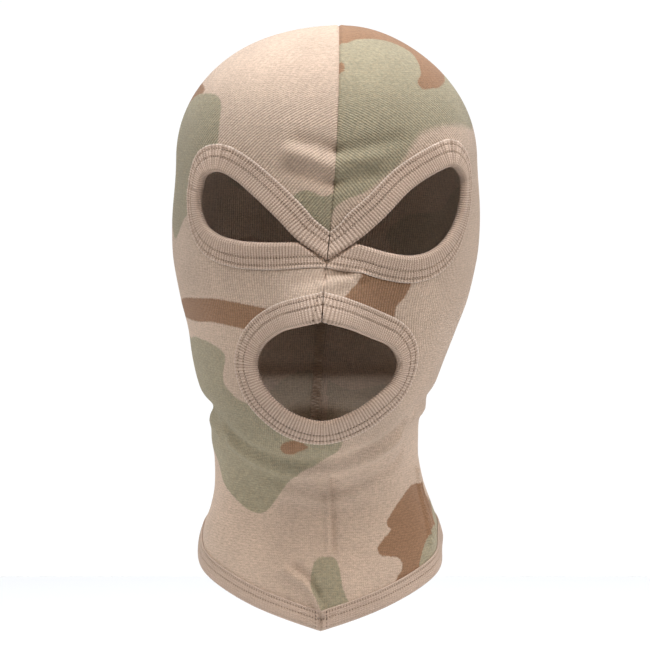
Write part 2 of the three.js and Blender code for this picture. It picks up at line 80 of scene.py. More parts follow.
SEAM_AT_CROWN = 6.5
SEAM_STRAIGHT_Z = -118
SEAM_SIDE_LIMIT = -2.4
SEAM_END_Z = -146
SEAM_FADE = 50
SEAM_REACH = 30
SEAM_SLIT = 0.5
SEAM_DIP = (0.78, 0.62)  # depth, spread
SEAM_SHOULDER = (0.2, 1.9, 1.1)  # height, distance from the seam, spread

PANEL_THICK = 1.1
PANEL_EDGE_INSET = 5
FACE_BINDING_WIDTH = 13.8
FACE_STITCH_ROWS = (7.9, 11.6)
HEM_BINDING_WIDTH = 10
HEM_STITCH_ROWS = (5.6, 8.6)
HEM_BACK_Z = -262
HEM_POINT_DROP = 45
HEM_POINT_POWER = 1.6

UPPER_BAND_FOLD_Z = -116
UPPER_BAND_TOP_Z = -101.5
LOWER_BAND_OUTER_Z = -119.6
EYE_CUT_BOTTOM_Z = -118.1
RIGHT_EYE_FOLD = [
    (-15, -105), (-23, -96.5), (-35, -85), (-46, -76), (-53, -73), (-59, -75), (-62.5, -83),
    (-63, -91), (-60, -99.5), (-54, -104), (-44, -106.5), (-30, -107), (-16.6, -106.8),
]
LEFT_EYE_FOLD = [
    (15, -106), (28, -95), (42, -81), (55, -73), (62, -71), (67, -76), (68, -84),
    (66, -96), (60, -106), (52, -112), (42, -114), (30, -112), (16.8, -108),
]
MOUTH_TOP_Z = -144.5
MOUTH_OUTER_Z = -131
MOUTH_FOLD = [
    (9, -148), (20, -153.5), (31, -160), (35, -168), (32.5, -177), (24, -184.5), (13, -191.5),
    (-1, -196), (-12, -194), (-22, -188.5), (-30, -180), (-34, -169), (-31, -159.5), (-22, -151), (-12, -147),
]
END_SKEW_LENGTH = 26
END_RIB_REACH = 30.0  # ribs are counted on past either end of the fold by this much
EYE_START_LIFT = 0.9
START_LIFT_REACH = 18
UNDER_LIFT = -1.5
UNDER_SQUASH = 0.28
UNDER_EDGE = (-2.4, 0.8)  # how far past the start's fold line the end of the strip begins and ends its dive
RIGHT_EYE_END_Z = -107.4
LEFT_EYE_END_Z = -104.6
SHORT_ROW_ASIDE = 2.8
SHORT_ROW_INSET = 1.5
HEM_ROW_RISE = 1
NAPE_END_CLEAR = 14
SEAM_PAST_MOUTH = 2
LABEL = {
    "half_turn": 0.25, "top": -218, "height": 30, "thick": 0.5, "lift": -4, "hang": 0.8,
    "stitches": 11, "stitch_drop": 3, "stitch_rise": 0.35, "thread_radius": 0.2,
}
OVERLOCK_PITCH = 2.2
BEHIND_BINDINGS = 2.2  # how far the seam allowance dips behind the bindings

# ---- Print: outlines of the green and brown patches ----
# A "wrap" outline is (degrees round the head from the front, height). A "crown" outline is the top of the
# head laid flat: (towards the wearer's left, towards the back), both measured down the cloth. half says
# which half of the panel carries the patch: 1 the wearer's left, -1 the right, 0 both.
DEGREE_MM = 1.4

GREEN_PATCHES = [
    ("wrap", -1, [  # temple
        (-74, -39), (-66, -35.5), (-55, -35), (-46, -35.5), (-40.5, -39), (-38, -46), (-36.5, -59),
        (-38, -72), (-46, -88), (-53, -94), (-61, -100), (-69, -107), (-76, -110), (-84, -105),
        (-94, -96), (-106, -84), (-111, -68), (-103, -52), (-90, -43),
    ]),
    ("crown", 1, [  # forehead
        (-4, -138), (6, -131), (13, -127), (24, -122), (33, -114), (42, -103), (46, -90), (49, -82),
        (55, -75), (65, -65), (76, -52), (87, -36), (92, -15), (84, 2), (66, 6), (50, -4), (30, -12),
        (10, -16), (-4, -20),
    ]),
    ("wrap", -1, [  # between the eyes
        (-12, -88), (-10, -84), (-7, -81.2), (-4, -82), (-1, -84), (3, -82.5), (8, -84), (8, -110),
        (-2, -110), (-10, -98),
    ]),
    ("wrap", 0, [  # cheek and jaw
        (-84, -160), (-71, -161.5), (-60, -159.5), (-49, -159.7), (-41, -161.5), (-36.3, -164.5),
        (-35.7, -169), (-37.2, -175), (-37, -180), (-34, -184), (-29, -188), (-20, -190), (-6, -192),
        (4, -200), (5.6, -208), (2.5, -215.5), (-4.5, -221.5), (-11, -224.3), (-18, -232),
        (-24.4, -241.7), (-29, -247.7), (-34, -249.7), (-41, -248), (-49, -243), (-58, -236),
        (-62, -226), (-67, -222), (-80, -214), (-94, -206), (-104, -192), (-100, -174), (-92, -164),
    ]),
    ("wrap", 0, [  # front of the neck
        (0.6, -270.5), (-4, -271.5), (-6.3, -276), (-6.7, -285), (-4, -292), (-1, -300), (3, -310),
        (15, -310), (11, -297), (8, -290), (6.6, -284), (5.6, -276), (3.8, -271.5),
    ]),
    ("wrap", 1, [  # side of the hem
        (96, -252), (88, -257), (78, -260.5), (66, -262.5), (57, -265), (51, -269.5), (46, -277),
        (44, -290), (70, -290), (92, -280), (100, -262),
    ]),
    ("wrap", 1, [  # behind the left ear
        (96, -92), (108, -84), (124, -88), (134, -100), (150, -104), (158, -116), (148, -130),
        (130, -128), (118, -136), (104, -134), (94, -118),
    ]),
    ("wrap", 1, [
        (128, -206), (142, -196), (166, -200), (186, -196), (186, -236), (164, -232), (144, -240),
        (130, -226),
    ]),
    ("wrap", -1, [(-186, -62), (-170, -56), (-152, -62), (-140, -76), (-150, -90), (-168, -88), (-186, -98)]),
    ("wrap", -1, [
        (-186, -196), (-168, -190), (-150, -200), (-140, -214), (-152, -224), (-170, -216), (-186, -224),
    ]),
]
BROWN_PATCHES = [
    ("crown", 1, [  # top of the head
        (-4, -37), (7, -37.5), (11, -32.5), (19, -27.5), (27, -25.2), (36, -25.5), (40, -30),
        (42, -38), (42.5, -46), (41, -53), (44, -56.5), (49, -52), (55, -44), (60, -28), (60, -7),
        (54, 12), (40, 24), (22, 26), (8, 18), (-4, 10),
    ]),
    ("crown", 1, [(-3, -53.5), (6, -54), (7.7, -57.6), (6, -61), (-3, -61.5)]),
    ("wrap", -1, [  # above the temple
        (-57, -34.5), (-64, -31.5), (-80, -30), (-100, -34), (-112, -44), (-108, -56), (-98, -50),
        (-86, -43), (-76, -39.5), (-66, -36),
    ]),
    ("wrap", -1, [  # stripe across the cheek
        (-10, -142), (-17, -140), (-28, -138), (-38, -136.8), (-51, -138), (-64, -139.5),
        (-75, -142.5), (-86, -146.5), (-92, -150), (-84, -152), (-68, -150.5), (-53, -150.5),
        (-41, -149), (-32, -150), (-24, -151.5), (-12, -155),
    ]),
    ("wrap", 1, [  # beside the nose
        (-2, -137), (4, -133.5), (6, -130.5), (9.3, -125), (12, -117), (27, -117), (27.2, -127),
        (24.5, -135), (21.7, -139), (21, -144), (19, -153), (-2, -153),
    ]),
    ("wrap", 0, [  # under the mouth
        (-16.8, -211), (-13, -207), (-9, -207.5), (-6.5, -210.5), (-10, -213), (-13, -215), (-15.8, -214.8),
    ]),
    ("wrap", 1, [  # side of the neck
        (47.8, -240), (56, -238.3), (65, -239.5), (74, -240.5), (84, -246), (93, -253), (90, -258),
        (78, -261), (66, -263), (57, -265.5), (51.5, -270), (47, -277), (42, -290), (29, -294),
        (31.5, -284), (35.2, -279.5), (36.2, -275.6), (34, -272.8), (30, -271.8), (25.5, -270.8),
        (24.2, -267.4), (27.5, -263.2), (32.5, -259), (30.8, -256.8), (31, -254), (38, -246.7),
    ]),
    ("wrap", 1, [(84, -152), (96, -146), (112, -154), (122, -168), (112, -184), (98, -180), (88, -168)]),
    ("wrap", 1, [(146, -52), (164, -46), (186, -50), (186, -84), (170, -80), (156, -72), (144, -64)]),
    ("wrap", -1, [
        (-104, -118), (-118, -112), (-136, -120), (-152, -116), (-164, -128), (-156, -144), (-136, -142),
        (-122, -152), (-108, -136),
    ]),
    ("wrap", -1, [
        (-96, -236), (-110, -228), (-128, -234), (-144, -244), (-142, -272), (-108, -272), (-98, -256),
    ]),
]
PATCH_MARGIN = 12.0  # beyond this distance from a patch, how far off it is no longer matters
CRISP_EDGE = 0.5  # half the width over which the print changes colour
BROW_BLUR = 1.9

# ---- Folds and creases of the worn cloth ----
# (points in degrees and height, half width in mm, height in mm; a negative height is a crease)
FOLDS = [
    ([(-9, -56.5), (-3, -58.5), (2.5, -61.5)], 3.2, -1.0),
    ([(3, -62), (12, -59), (23, -56)], 2.8, -0.9),
    ([(-11, -62.5), (-4, -66), (2.5, -71)], 3.4, 1.5),
    ([(3, -66.5), (9, -67), (16, -65)], 3.0, 0.8),
    ([(-11, -72), (-4, -75), (2, -78)], 2.8, -0.9),
    ([(3, -77), (8, -75.5), (14, -73)], 2.8, -1.0),
    ([(-1, -129), (4, -126.5), (9.5, -124)], 2.0, 1.3),
    ([(1, -122.5), (5, -122.5), (10, -126)], 1.7, -1.2),
    ([(-8, -127), (-4, -125.5), (-1, -124)], 2.2, -0.6),
    ([(-43, -205), (-30, -214), (-20, -218.5), (-10, -220), (7, -218), (20, -211.5), (34, -202)], 3.4, -1.1),
    ([(-41, -211), (-30, -219), (-20, -224), (-10, -226), (7, -224), (20, -217.5), (33, -209)], 3.2, 1.2),
    ([(-2, -238), (8, -236), (17, -233), (29, -227), (38, -220)], 2.8, -0.7),
    ([(-22, -236), (-10, -240), (0, -243), (14, -240)], 3.4, 0.5),
    ([(0, -228), (0.4, -250), (0.9, -268)], 1.1, 1.1),
    ([(2.1, -230), (2.6, -250), (3.1, -266)], 2.6, -0.9),
    ([(-18, -278), (-10.5, -282.5), (-5.5, -289), (-2, -298)], 1.5, 2.0),
    ([(-14, -275.5), (-7.5, -281), (-3.2, -289)], 1.7, -1.1),
    ([(64, -232), (62, -250), (57, -270)], 1.4, 1.1),
    ([(69, -236), (67, -252), (63, -266)], 1.6, -0.7),
    ([(75, -240), (73, -256), (70, -266)], 1.8, 0.6),
    ([(-92, -199), (-72, -198), (-54, -197)], 4.2, -1.1),
    ([(40, -194), (56, -192), (88, -192)], 4.2, -0.8),
    ([(44, -200), (58, -199), (84, -200)], 3.4, 0.7),
    ([(-88, -206), (-70, -206), (-52, -208)], 3.6, 0.8),
    ([(112, -184), (140, -192), (184, -194)], 5.0, -1.3),
    ([(-112, -184), (-140, -192), (-184, -194)], 5.0, -1.3),
    ([(120, -206), (150, -212), (184, -210)], 5.0, 1.2),
    ([(-118, -204), (-150, -211), (-184, -210)], 5.0, 1.2),
    ([(128, -226), (156, -230), (184, -226)], 5.0, -0.9),
    ([(-130, -228), (-156, -232), (-184, -226)], 5.0, -0.9),
]
FOLD_STRENGTH = 1.7
# Long waves over the cloth: waves round the head, radians per metre of height, phase, height in mm.
RIPPLES = [(3, 42, 0.4, 0.22), (5, 66, 1.9, 0.16), (8, -54, 4.1, 0.12), (11, 92, 2.6, 0.08)]
NECK_RIPPLES = [(6, 18, 0.9, 0.5), (9, -28, 3.2, 0.35)]
CROWN_IS_CALM = (4, 30)  # the waves set in between these depths below the crown
NECK_IS_LOOSE = (205, 250)

# ---- Fineness and rib sizes ----

RIB_PITCH = 1.5
RIB_DEPTH = 0.32
RIB_STEP = 0.28
HEM_RIB_DEPTH = 0.07
HEM_STEP = 0.3
WALE_PITCH = 1.45
WALE_SLANT_REACH = 110  # round the head from the seam
COURSE_PITCH = 1.3
LOOP_PITCH = 1.1  # of the loops along each rib
TWIST_PITCH = 0.45
STITCH = RIB_PITCH
SHORT_STITCH = 2.0
SHORT_STITCH_LIFT = 0.3
FACE_TOP = 3.35  # height of a strip's outer face beyond its fold
FACE_EDGE = 1.95  # and towards its outer edge
STITCH_DIVE = -1.1  # the thread against the outer face, where it goes in
STITCH_RISE = 1.05
STITCH_ROUNDNESS = 0.6
HOLE_DEPTH = 0.5
HOLE_SPREAD = 0.38
HEM_HOLE_SHARE = 0.68  # the hem is stitched with less pull, so its holes are smaller
MITRE_TURN = 0.01  # half the angle that the fold at the hem's point takes up
PINCH_DEPTH = 0.45
MITRE_TONE = 1.6  # the shade in that fold, in grooves
EDGE_HIGHLIGHT_SPAN = (0.55, 0.15)  # a painted highlight lightens a strip's edge between these distances from it
LOOPER_LIFT = -1.5
THREAD_RADIUS = 0.17
THREAD_SIDES = 7
THREAD_TWIST = 0.9  # the twist's marks climb this far in one turn round the thread
HEAD_MIDDLE = (0.0, 0.0, -150.0)

SEAM_COLUMNS = (0, 0.35, 0.75, 1.3, 2.1, 3.1)  # distances from the seam at which the mesh has a column
SEAM_COLUMN_RADIUS = 93.0
FRONT_COLUMNS = 78
BACK_COLUMNS = 46
CROWN_FIRST_RUN = 1.2
CROWN_ROWS = 42
FACE_ROWS = 84
NECK_ROWS = 44
FACE_TOP_RUN = 98.0
FACE_BOTTOM_RUN = 252.0
OPENINGS_IN_FRONT_OF = -20.0  # openings are cut in the face, and not in the back behind it


# ---- Surface ----

def section_slopes():
    slopes = np.zeros_like(SECTIONS)
    slopes[1:-1] = (SECTIONS[2:] - SECTIONS[:-2]) / (SECTIONS[2:, :1] - SECTIONS[:-2, :1])
    slopes[-1] = (SECTIONS[-1] - SECTIONS[-2]) / (SECTIONS[-1, 0] - SECTIONS[-2, 0])
    return slopes


SLOPES = section_slopes()


def cubic(t, start, end, leave, arrive):
    """Curve from start to end, with its slope at either end."""
    rise = 3 * t**2 - 2 * t**3
    return start * (1 - rise) + end * rise + leave * (t**3 - 2 * t**2 + t) + arrive * (t**3 - t**2)


def section_value(z, column):
    levels = SECTIONS[:, 0]
    height = np.clip(z, levels[-1], levels[0])
    here = np.clip(np.searchsorted(-levels, -height, side="right") - 1, 0, len(levels) - 2)
    step = levels[here + 1] - levels[here]
    value, slope = SECTIONS[:, column], SLOPES[:, column]
    t = (height - levels[here]) / step
    return cubic(t, value[here], value[here + 1], step * slope[here], step * slope[here + 1])


def smooth_step(value, low, high):
    t = np.clip((value - low) / (high - low), 0, 1)
    return t * t * (3 - 2 * t)


def bump(value, centre, spread):
    return np.exp(-0.5 * ((value - centre) / spread) ** 2)


def height_at(run):
    dome = -CROWN_HEIGHT * (1 - np.cos(np.minimum(run / CROWN_RUN, 1) * np.pi / 2))
    return np.where(run > CROWN_RUN, -CROWN_HEIGHT - (run - CROWN_RUN), dome)


def run_at(z):
    dome = np.arccos(np.clip(1 + z / CROWN_HEIGHT, -1, 1)) / (np.pi / 2) * CROWN_RUN
    return np.where(z < -CROWN_HEIGHT, CROWN_RUN - CROWN_HEIGHT - z, dome)


def seam_x(z):
    wander = np.maximum(SEAM_AT_CROWN * (1 - (z / SEAM_STRAIGHT_Z) ** 2), SEAM_SIDE_LIMIT)
    return wander * (1 - smooth_step(SEAM_END_Z - z, 0, SEAM_FADE))


def seam_shift(z, is_front, x):
    """Sideways shift beside the seam, which also takes out the lean where the seam runs down the face."""
    lean = section_value(z, LEAN) * (1 - smooth_step(SEAM_END_Z - z, 0, SEAM_FADE))
    wander = np.where(is_front, seam_x(z) - lean, np.maximum(seam_x(z), 0))
    return wander * np.exp(-((x / SEAM_REACH) ** 2))


def base_point(turn, run):
    """Point on the inner face of the panel: turn is the angle round the head, run the way down the cloth."""
    z = height_at(run)
    ease = np.sin(np.minimum(run / CROWN_RUN, 1) * np.pi / 2)
    power = 2 + (SECTION_POWER - 2) * ease
    is_front = np.cos(turn) > 0
    reach = np.where(is_front, section_value(z, FRONT_REACH), section_value(z, BACK_REACH))
    across = np.abs(np.sin(turn)) / section_value(z, HALF_WIDTH)
    along = np.abs(np.cos(turn)) / reach
    radius = ease / (across**power + along**power) ** (1 / power)
    x = radius * np.sin(turn)
    nose_height = bump(z, NOSE["z"], np.where(z > NOSE["z"], NOSE["above"], NOSE["below"]))
    nose = np.where(is_front, NOSE["reach"] * nose_height * bump(x, 0, NOSE["half_width"]), 0)
    y = -radius * np.cos(turn) - nose
    ear = np.sign(x) * EAR["reach"] * bump(z, EAR["z"], EAR["spread"]) * bump(y, EAR["y"], EAR["spread"])
    aside = section_value(z, LEAN) + ear + seam_shift(z, is_front, x)
    return np.stack([x + aside, y, z], axis=-1)


def base_normal(turn, run):
    turn_step, run_step = 0.01, 0.5
    safe = np.maximum(run, 1.0)
    round_step = base_point(turn + turn_step, safe) - base_point(turn - turn_step, safe)
    down_step = base_point(turn, safe + run_step) - base_point(turn, safe - run_step)
    normal = np.cross(down_step, round_step)
    return normal / np.linalg.norm(normal, axis=-1, keepdims=True)


def wrap_chart(points):
    """(millimetres round the head, height) of points."""
    degrees = np.degrees(np.arctan2(points[..., 0], -points[..., 1]))
    return np.stack([degrees * DEGREE_MM, points[..., 2]], axis=-1)


def crown_chart(points):
    angle = np.arctan2(points[..., 0], -points[..., 1])
    run = run_at(points[..., 2])
    return np.stack([run * np.sin(angle), -run * np.cos(angle)], axis=-1)


def line_gap(spots, start, end):
    """Distance of each spot from a straight line, and the part of the line at which it is nearest."""
    way = end - start
    part = np.clip(((spots - start) @ way) / max(way @ way, 1e-9), 0, 1)
    off = spots - (start + part[..., None] * way)
    return np.hypot(off[..., 0], off[..., 1]), part


def distance_to_line(spots, line):
    """Distance of each spot from an open polyline, both in a flat chart."""
    nearest = np.full(spots.shape[:-1], np.inf)
    for start, end in zip(line[:-1], line[1:]):
        nearest = np.minimum(nearest, line_gap(spots, start, end)[0])
    return nearest


def ripples(waves, angle, metres):
    return sum(
        height * np.sin(round_head * angle + per_metre * metres + phase)
        for round_head, per_metre, phase, height in waves
    )


def cloth_lift(points):
    """How far folds and ripples raise the cloth at points of the inner face."""
    chart = wrap_chart(points)
    angle, depth = np.radians(chart[..., 0] / DEGREE_MM), -points[..., 2]
    lift = smooth_step(depth, *CROWN_IS_CALM) * ripples(RIPPLES, angle, -depth * MM)
    lift += smooth_step(depth, *NECK_IS_LOOSE) * ripples(NECK_RIPPLES, angle, -depth * MM)
    for line, width, height in FOLDS:
        spots = np.array(line) * (DEGREE_MM, 1)
        lift += FOLD_STRENGTH * height * np.exp(-((distance_to_line(chart, spots) / width) ** 2))
    return lift


def raised_point(turn, run, lift):
    """Point over the smooth inner face, without folds and ripples."""
    return base_point(turn, run) + base_normal(turn, run) * lift[..., None]


def shell_point(turn, run, lift):
    return raised_point(turn, run, lift + cloth_lift(base_point(turn, run)))


def turn_at(x, z):
    """Angle round the head at which the front of the surface has a given x, at height z."""
    run = run_at(z)
    low = np.full(np.shape(x), -np.pi / 2)
    high = np.full(np.shape(x), np.pi / 2)
    for _ in range(26):
        middle = (low + high) / 2
        is_low = base_point(middle, run)[..., 0] < x
        low = np.where(is_low, middle, low)
        high = np.where(is_low, high, middle)
    return (low + high) / 2


def face_base(spots):
    """Points of the smooth inner face at (x, z) spots of its front."""
    return base_point(turn_at(spots[..., 0], spots[..., 1]), run_at(spots[..., 1]))


def face_point(spots, lift):
    return shell_point(turn_at(spots[..., 0], spots[..., 1]), run_at(spots[..., 1]), lift)


def hem_z(turn):
    return HEM_BACK_Z - HEM_POINT_DROP * (1 - np.abs(turn) / np.pi) ** HEM_POINT_POWER


# ---- Meshes ----

def facing_out(points, faces):
    """The faces, turned round if they look inwards."""
    volume = 0.0
    for size in {len(face) for face in faces}:
        group = points[np.array([face for face in faces if len(face) == size])]
        for k in range(1, size - 1):
            volume += np.einsum("ij,ij", group[:, 0], np.cross(group[:, k], group[:, k + 1]))
    return faces if volume > 0 else [face[::-1] for face in faces]


def make_piece(name, points, faces, material, attributes=None):
    """A mesh in place of the CAD node of its name. An attribute is one number, or one for each point."""
    mesh = bpy.data.meshes.new(name)
    mesh.from_pydata((points * MM).tolist(), [], facing_out(points, faces))
    mesh.validate()
    mesh.shade_smooth()
    for key, values in (attributes or {}).items():
        layer = mesh.attributes.new(key, "FLOAT", "POINT")
        layer.data.foreach_set("value", np.full(len(points), np.ravel(values), np.float32))
    mesh.materials.append(material)
    piece = bpy.data.objects.new(name, mesh)
    bpy.context.scene.collection.objects.link(piece)
    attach(piece, "root")
    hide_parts(name)
    return piece


def grid_quads(grid):
    """Four-sided faces between neighbours in a grid of point numbers."""
    return np.stack([grid[:-1, :-1], grid[1:, :-1], grid[1:, 1:], grid[:-1, 1:]], axis=-1).reshape(-1, 4)


def bar_faces(stations, sides, is_ring=False):
    """Faces of a bar whose points are rows of one closed outline, its ends capped or joined."""
    grid = np.arange(stations * sides).reshape(stations, sides)
    caps = [] if is_ring else [grid[0, ::-1].tolist(), grid[-1].tolist()]
    if is_ring:
        grid = np.vstack([grid, grid[:1]])
    return grid_quads(np.hstack([grid, grid[:, :1]]).T).tolist() + caps


def running_length(path):
    return np.concatenate([[0], np.cumsum(np.linalg.norm(np.diff(path, axis=0), axis=1))])


def tube_points(path, radius, is_ring):
    """Rings of points round a path."""
    if is_ring:
        ahead, behind = np.roll(path, -1, axis=0), np.roll(path, 1, axis=0)
    else:
        ahead, behind = np.vstack([path[1:], path[-1:]]), np.vstack([path[:1], path[:-1]])
    way = ahead - behind
    way /= np.linalg.norm(way, axis=1, keepdims=True)
    across = np.cross(way, path - HEAD_MIDDLE)
    across /= np.linalg.norm(across, axis=1, keepdims=True)
    up = np.cross(across, way)
    angle = (np.arange(THREAD_SIDES) / THREAD_SIDES * 2 * np.pi)[:, None]
    ring = across[:, None] * np.cos(angle) + up[:, None] * np.sin(angle)
    return (path[:, None] + radius * ring).reshape(-1, 3)


def thread_piece(name, paths, is_ring=False, radius=THREAD_RADIUS):
    """Threads along paths as one piece, with the way along each thread kept for its twist."""
    points, faces, along = [], [], []
    twist = np.arange(THREAD_SIDES) / THREAD_SIDES * THREAD_TWIST
    for path in paths:
        before = sum(map(len, points))
        some = bar_faces(len(path), THREAD_SIDES, is_ring)
        faces += [[before + k for k in face] for face in some]
        points.append(tube_points(path, radius, is_ring))
        along.append((running_length(path)[:, None] + twist).ravel())
    attributes = {"along": np.concatenate(along)}
    return make_piece(name, np.vstack(points), faces, THREAD, attributes)


# ---- Materials ----

class Nodes:
    """Short names for building the node tree of a material or a world."""

    def __init__(self, owner, shader="Principled BSDF"):
        owner.use_nodes = True
        self.owner, self.tree = owner, owner.node_tree
        self.shader = self.tree.nodes[shader]

    def add(self, kind, **settings):
        node = self.tree.nodes.new(kind)
        for key, value in settings.items():
            setattr(node, key, value)
        return node

    def link(self, source, target):
        if isinstance(source, (int, float)):
            target.default_value = source
        elif isinstance(source, tuple):
            target.default_value = (*source, 1.0)
        else:
            self.tree.links.new(source, target)

    def math(self, operation, *values):
        node = self.add("ShaderNodeMath", operation=operation)
        for value, socket in zip(values, node.inputs):
            self.link(value, socket)
        return node.outputs[0]

    def times(self, first, *others):
        product = first
        for other in others:
            product = self.math("MULTIPLY", product, other)
        return product

    def add_share(self, value, share, other):
        """The other value, with a share of this one added."""
        return self.math("MULTIPLY_ADD", value, share, other)

    def attribute(self, name):
        return self.add("ShaderNodeAttribute", attribute_name=name).outputs["Fac"]

    def place(self):
        return self.add("ShaderNodeTexCoord").outputs["Object"]

    def noise(self, scale, detail=2.0, place=None):
        node = self.add("ShaderNodeTexNoise")
        node.inputs["Scale"].default_value = scale
        node.inputs["Detail"].default_value = detail
        self.link(place or self.place(), node.inputs["Vector"])
        return node.outputs["Fac"]

    def mix(self, factor, first, second, blend="MIX"):
        node = self.add("ShaderNodeMix", data_type="RGBA", blend_type=blend)
        for value, socket in ((factor, 0), (first, 6), (second, 7)):
            self.link(value, node.inputs[socket])
        return node.outputs[2]

    def span(self, value, low, high, out_low=0.0, out_high=1.0):
        node = self.add("ShaderNodeMapRange", interpolation_type="SMOOTHSTEP")
        for source, socket in zip((value, low, high, out_low, out_high), node.inputs):
            self.link(source, socket)
        return node.outputs[0]

    def uneven(self, scale, detail, out_low, out_high):
        """A tone that wanders between two values."""
        return self.span(self.noise(scale, detail), 0.3, 0.7, out_low, out_high)

    def wave(self, value, pitch):
        """0 to 1 and back once per pitch."""
        turned = self.math("MULTIPLY", value, 2 * math.pi / pitch)
        return self.add_share(self.math("COSINE", turned), 0.5, 0.5)

    def finish(self, colour, tone, height, depth_mm, roughness=0.95, sheen=0.12):
        """Gives the shader a colour that varies in tone, and relief of a given depth."""
        grey = self.add("ShaderNodeCombineColor")
        for socket in grey.inputs[:3]:
            self.link(tone, socket)
        relief = self.add("ShaderNodeBump")
        self.link(1.0, relief.inputs["Strength"])
        self.link(depth_mm * MM, relief.inputs["Distance"])
        self.link(height, relief.inputs["Height"])
        looks = {
            "Base Color": self.mix(1.0, colour, grey.outputs[0], "MULTIPLY"),
            "Normal": relief.outputs[0],
            "Roughness": roughness,
            "Sheen Weight": sheen,
            "Sheen Roughness": 0.5,
            "Specular IOR Level": 0.15,
        }
        for name, value in looks.items():
            self.link(value, self.shader.inputs[name])
        return self.owner


def material_nodes(name):
    return Nodes(bpy.data.materials.new(name))


def shade(red, green, blue):
    """Screen colour, 0 to 255, as the linear colour that a shader takes."""
    parts = [value / 255 for value in (red, green, blue)]
    return tuple(p / 12.92 if p <= 0.04045 else ((p + 0.055) / 1.055) ** 2.4 for p in parts)


TAN = shade(205, 180, 159)
STRAW = shade(180, 163, 133)
GREEN = shade(161, 151, 126)
BROWN = shade(153, 117, 89)
PALE_BACK = shade(222, 206, 192)
RIB_TAN = shade(208, 183, 164)
# Painted shade: the hem strip's tan is the face strips' tan made darker, as the hem faces down.
HEM_TAN_SHADED = shade(193, 169, 151)
# Painted shade that darkens the grooves between a strip's ribs and the fold at the hem's point.
RIB_GROOVE_SHADE = shade(132, 109, 91)
# Painted shade in the needle holes, which are also sunk.
RIB_HOLE_SHADE = shade(66, 49, 40)
# Painted highlight along a strip's outer edge.
RIB_EDGE_HIGHLIGHT = shade(240, 224, 210)
THREAD_TAN = shade(198, 174, 152)
LABEL_WHITE = shade(222, 218, 210)


def knit_material():
    """Printed rib knit: camouflage from the patch attributes, wales and courses from the cloth's own axes."""
    n = material_nodes("camouflage_knit")
    ragged = n.add_share(n.noise(900), 1.6, -0.8)

    def patch(name, softness):
        edge = n.math("ADD", n.attribute(name), ragged)
        return n.span(n.math("DIVIDE", edge, softness), -1, 1)

    wale = n.wave(n.attribute("wale"), WALE_PITCH)
    course = n.wave(n.add_share(wale, 0.45, n.attribute("course")), COURSE_PITCH)
    ribs = n.times(wale, n.attribute("rib"))
    heather = n.span(n.noise(640, 4), 0.42, 0.66, 0.0, 0.55)
    printed = n.mix(patch("green", n.attribute("softness")), TAN, n.mix(heather, GREEN, STRAW))
    printed = n.mix(patch("brown", CRISP_EDGE), printed, BROWN)
    faded = n.mix(n.times(n.attribute("inside"), 0.6), printed, PALE_BACK)
    flattened = n.add("ShaderNodeMapping")
    flattened.inputs["Scale"].default_value = (0.3, 0.3, 1.0)
    n.link(n.place(), flattened.inputs["Vector"])
    streaks = n.noise(1500, 3, flattened.outputs[0])
    speckle = n.span(n.add_share(n.noise(2000), 0.5, n.times(streaks, 0.5)), 0.34, 0.66, 0.81, 1.17)
    # Painted shade: the valleys between the ribs are darkened by up to a quarter.
    valley = n.times(n.math("SUBTRACT", 1.0, wale), n.attribute("rib"))
    valley_shade = n.add_share(valley, -0.24, 1.0)
    tone = n.times(n.uneven(22, 3, 0.93, 1.06), speckle, valley_shade, n.span(course, 0.0, 1.0, 0.94, 1.03))
    relief = n.add_share(n.noise(1400), 0.45, n.add_share(course, 0.22, ribs))
    return n.finish(faded, tone, relief, 0.3)


def rib_material(name, rib_colour, groove_shade_share, highlight_share):
    """Solid-coloured rib strip with painted shade in its grooves and needle holes and a painted highlight
    along its edge. The ribs are real; the loops along each rib are relief.
    """
    n = material_nodes(name)
    groove = n.attribute("groove")
    loops = n.wave(n.add_share(groove, 0.5, n.attribute("across")), LOOP_PITCH)
    tone = n.times(n.uneven(30, 3, 0.94, 1.05), n.uneven(1700, 2, 0.9, 1.08), n.span(loops, 0, 1, 0.94, 1.03))
    # Painted shade in the grooves between the ribs.
    colour = n.mix(n.times(groove, groove_shade_share), rib_colour, RIB_GROOVE_SHADE)
    # Painted highlight along the outer edge.
    colour = n.mix(n.times(n.attribute("edge_highlight"), highlight_share), colour, RIB_EDGE_HIGHLIGHT)
    # Painted shade in the needle holes.
    colour = n.mix(n.span(n.attribute("hole"), 0.1, 0.7), colour, RIB_HOLE_SHADE)
    return n.finish(colour, tone, n.add_share(n.noise(1800), 0.5, loops), 0.12)


def thread_material():
    """Spun sewing thread, its twist running round it."""
    n = material_nodes("sewing_thread")
    twist = n.wave(n.attribute("along"), TWIST_PITCH)
    tone = n.times(n.span(twist, 0, 1, 0.8, 1.08), n.uneven(700, 2, 0.92, 1.06))
    return n.finish(THREAD_TAN, tone, twist, 0.06, roughness=0.7, sheen=0.15)


def label_material():
    """Woven satin label tape, left blank."""
    n = material_nodes("label_cloth")
    weave = n.add("ShaderNodeTexWave", wave_type="BANDS", bands_direction="Z")
    weave.inputs["Scale"].default_value = 900
    weave.inputs["Distortion"].default_value = 1.5
    n.link(n.place(), weave.inputs["Vector"])
    weave = weave.outputs["Fac"]
    tone = n.times(n.uneven(60, 3, 0.94, 1.04), n.span(weave, 0, 1, 0.93, 1.02))
    return n.finish(LABEL_WHITE, tone, weave, 0.05, roughness=0.55, sheen=0.1)


KNIT = knit_material()
# The last two numbers: how much painted shade the grooves get, and how much painted highlight the edge gets.
RIB = rib_material("binding_rib", RIB_TAN, 0.6, 0.4)
HEM_RIB = rib_material("binding_rib_hem", HEM_TAN_SHADED, 0.14, 0.12)
THREAD = thread_material()
LABEL_CLOTH = label_material()


# ---- Camouflage ----

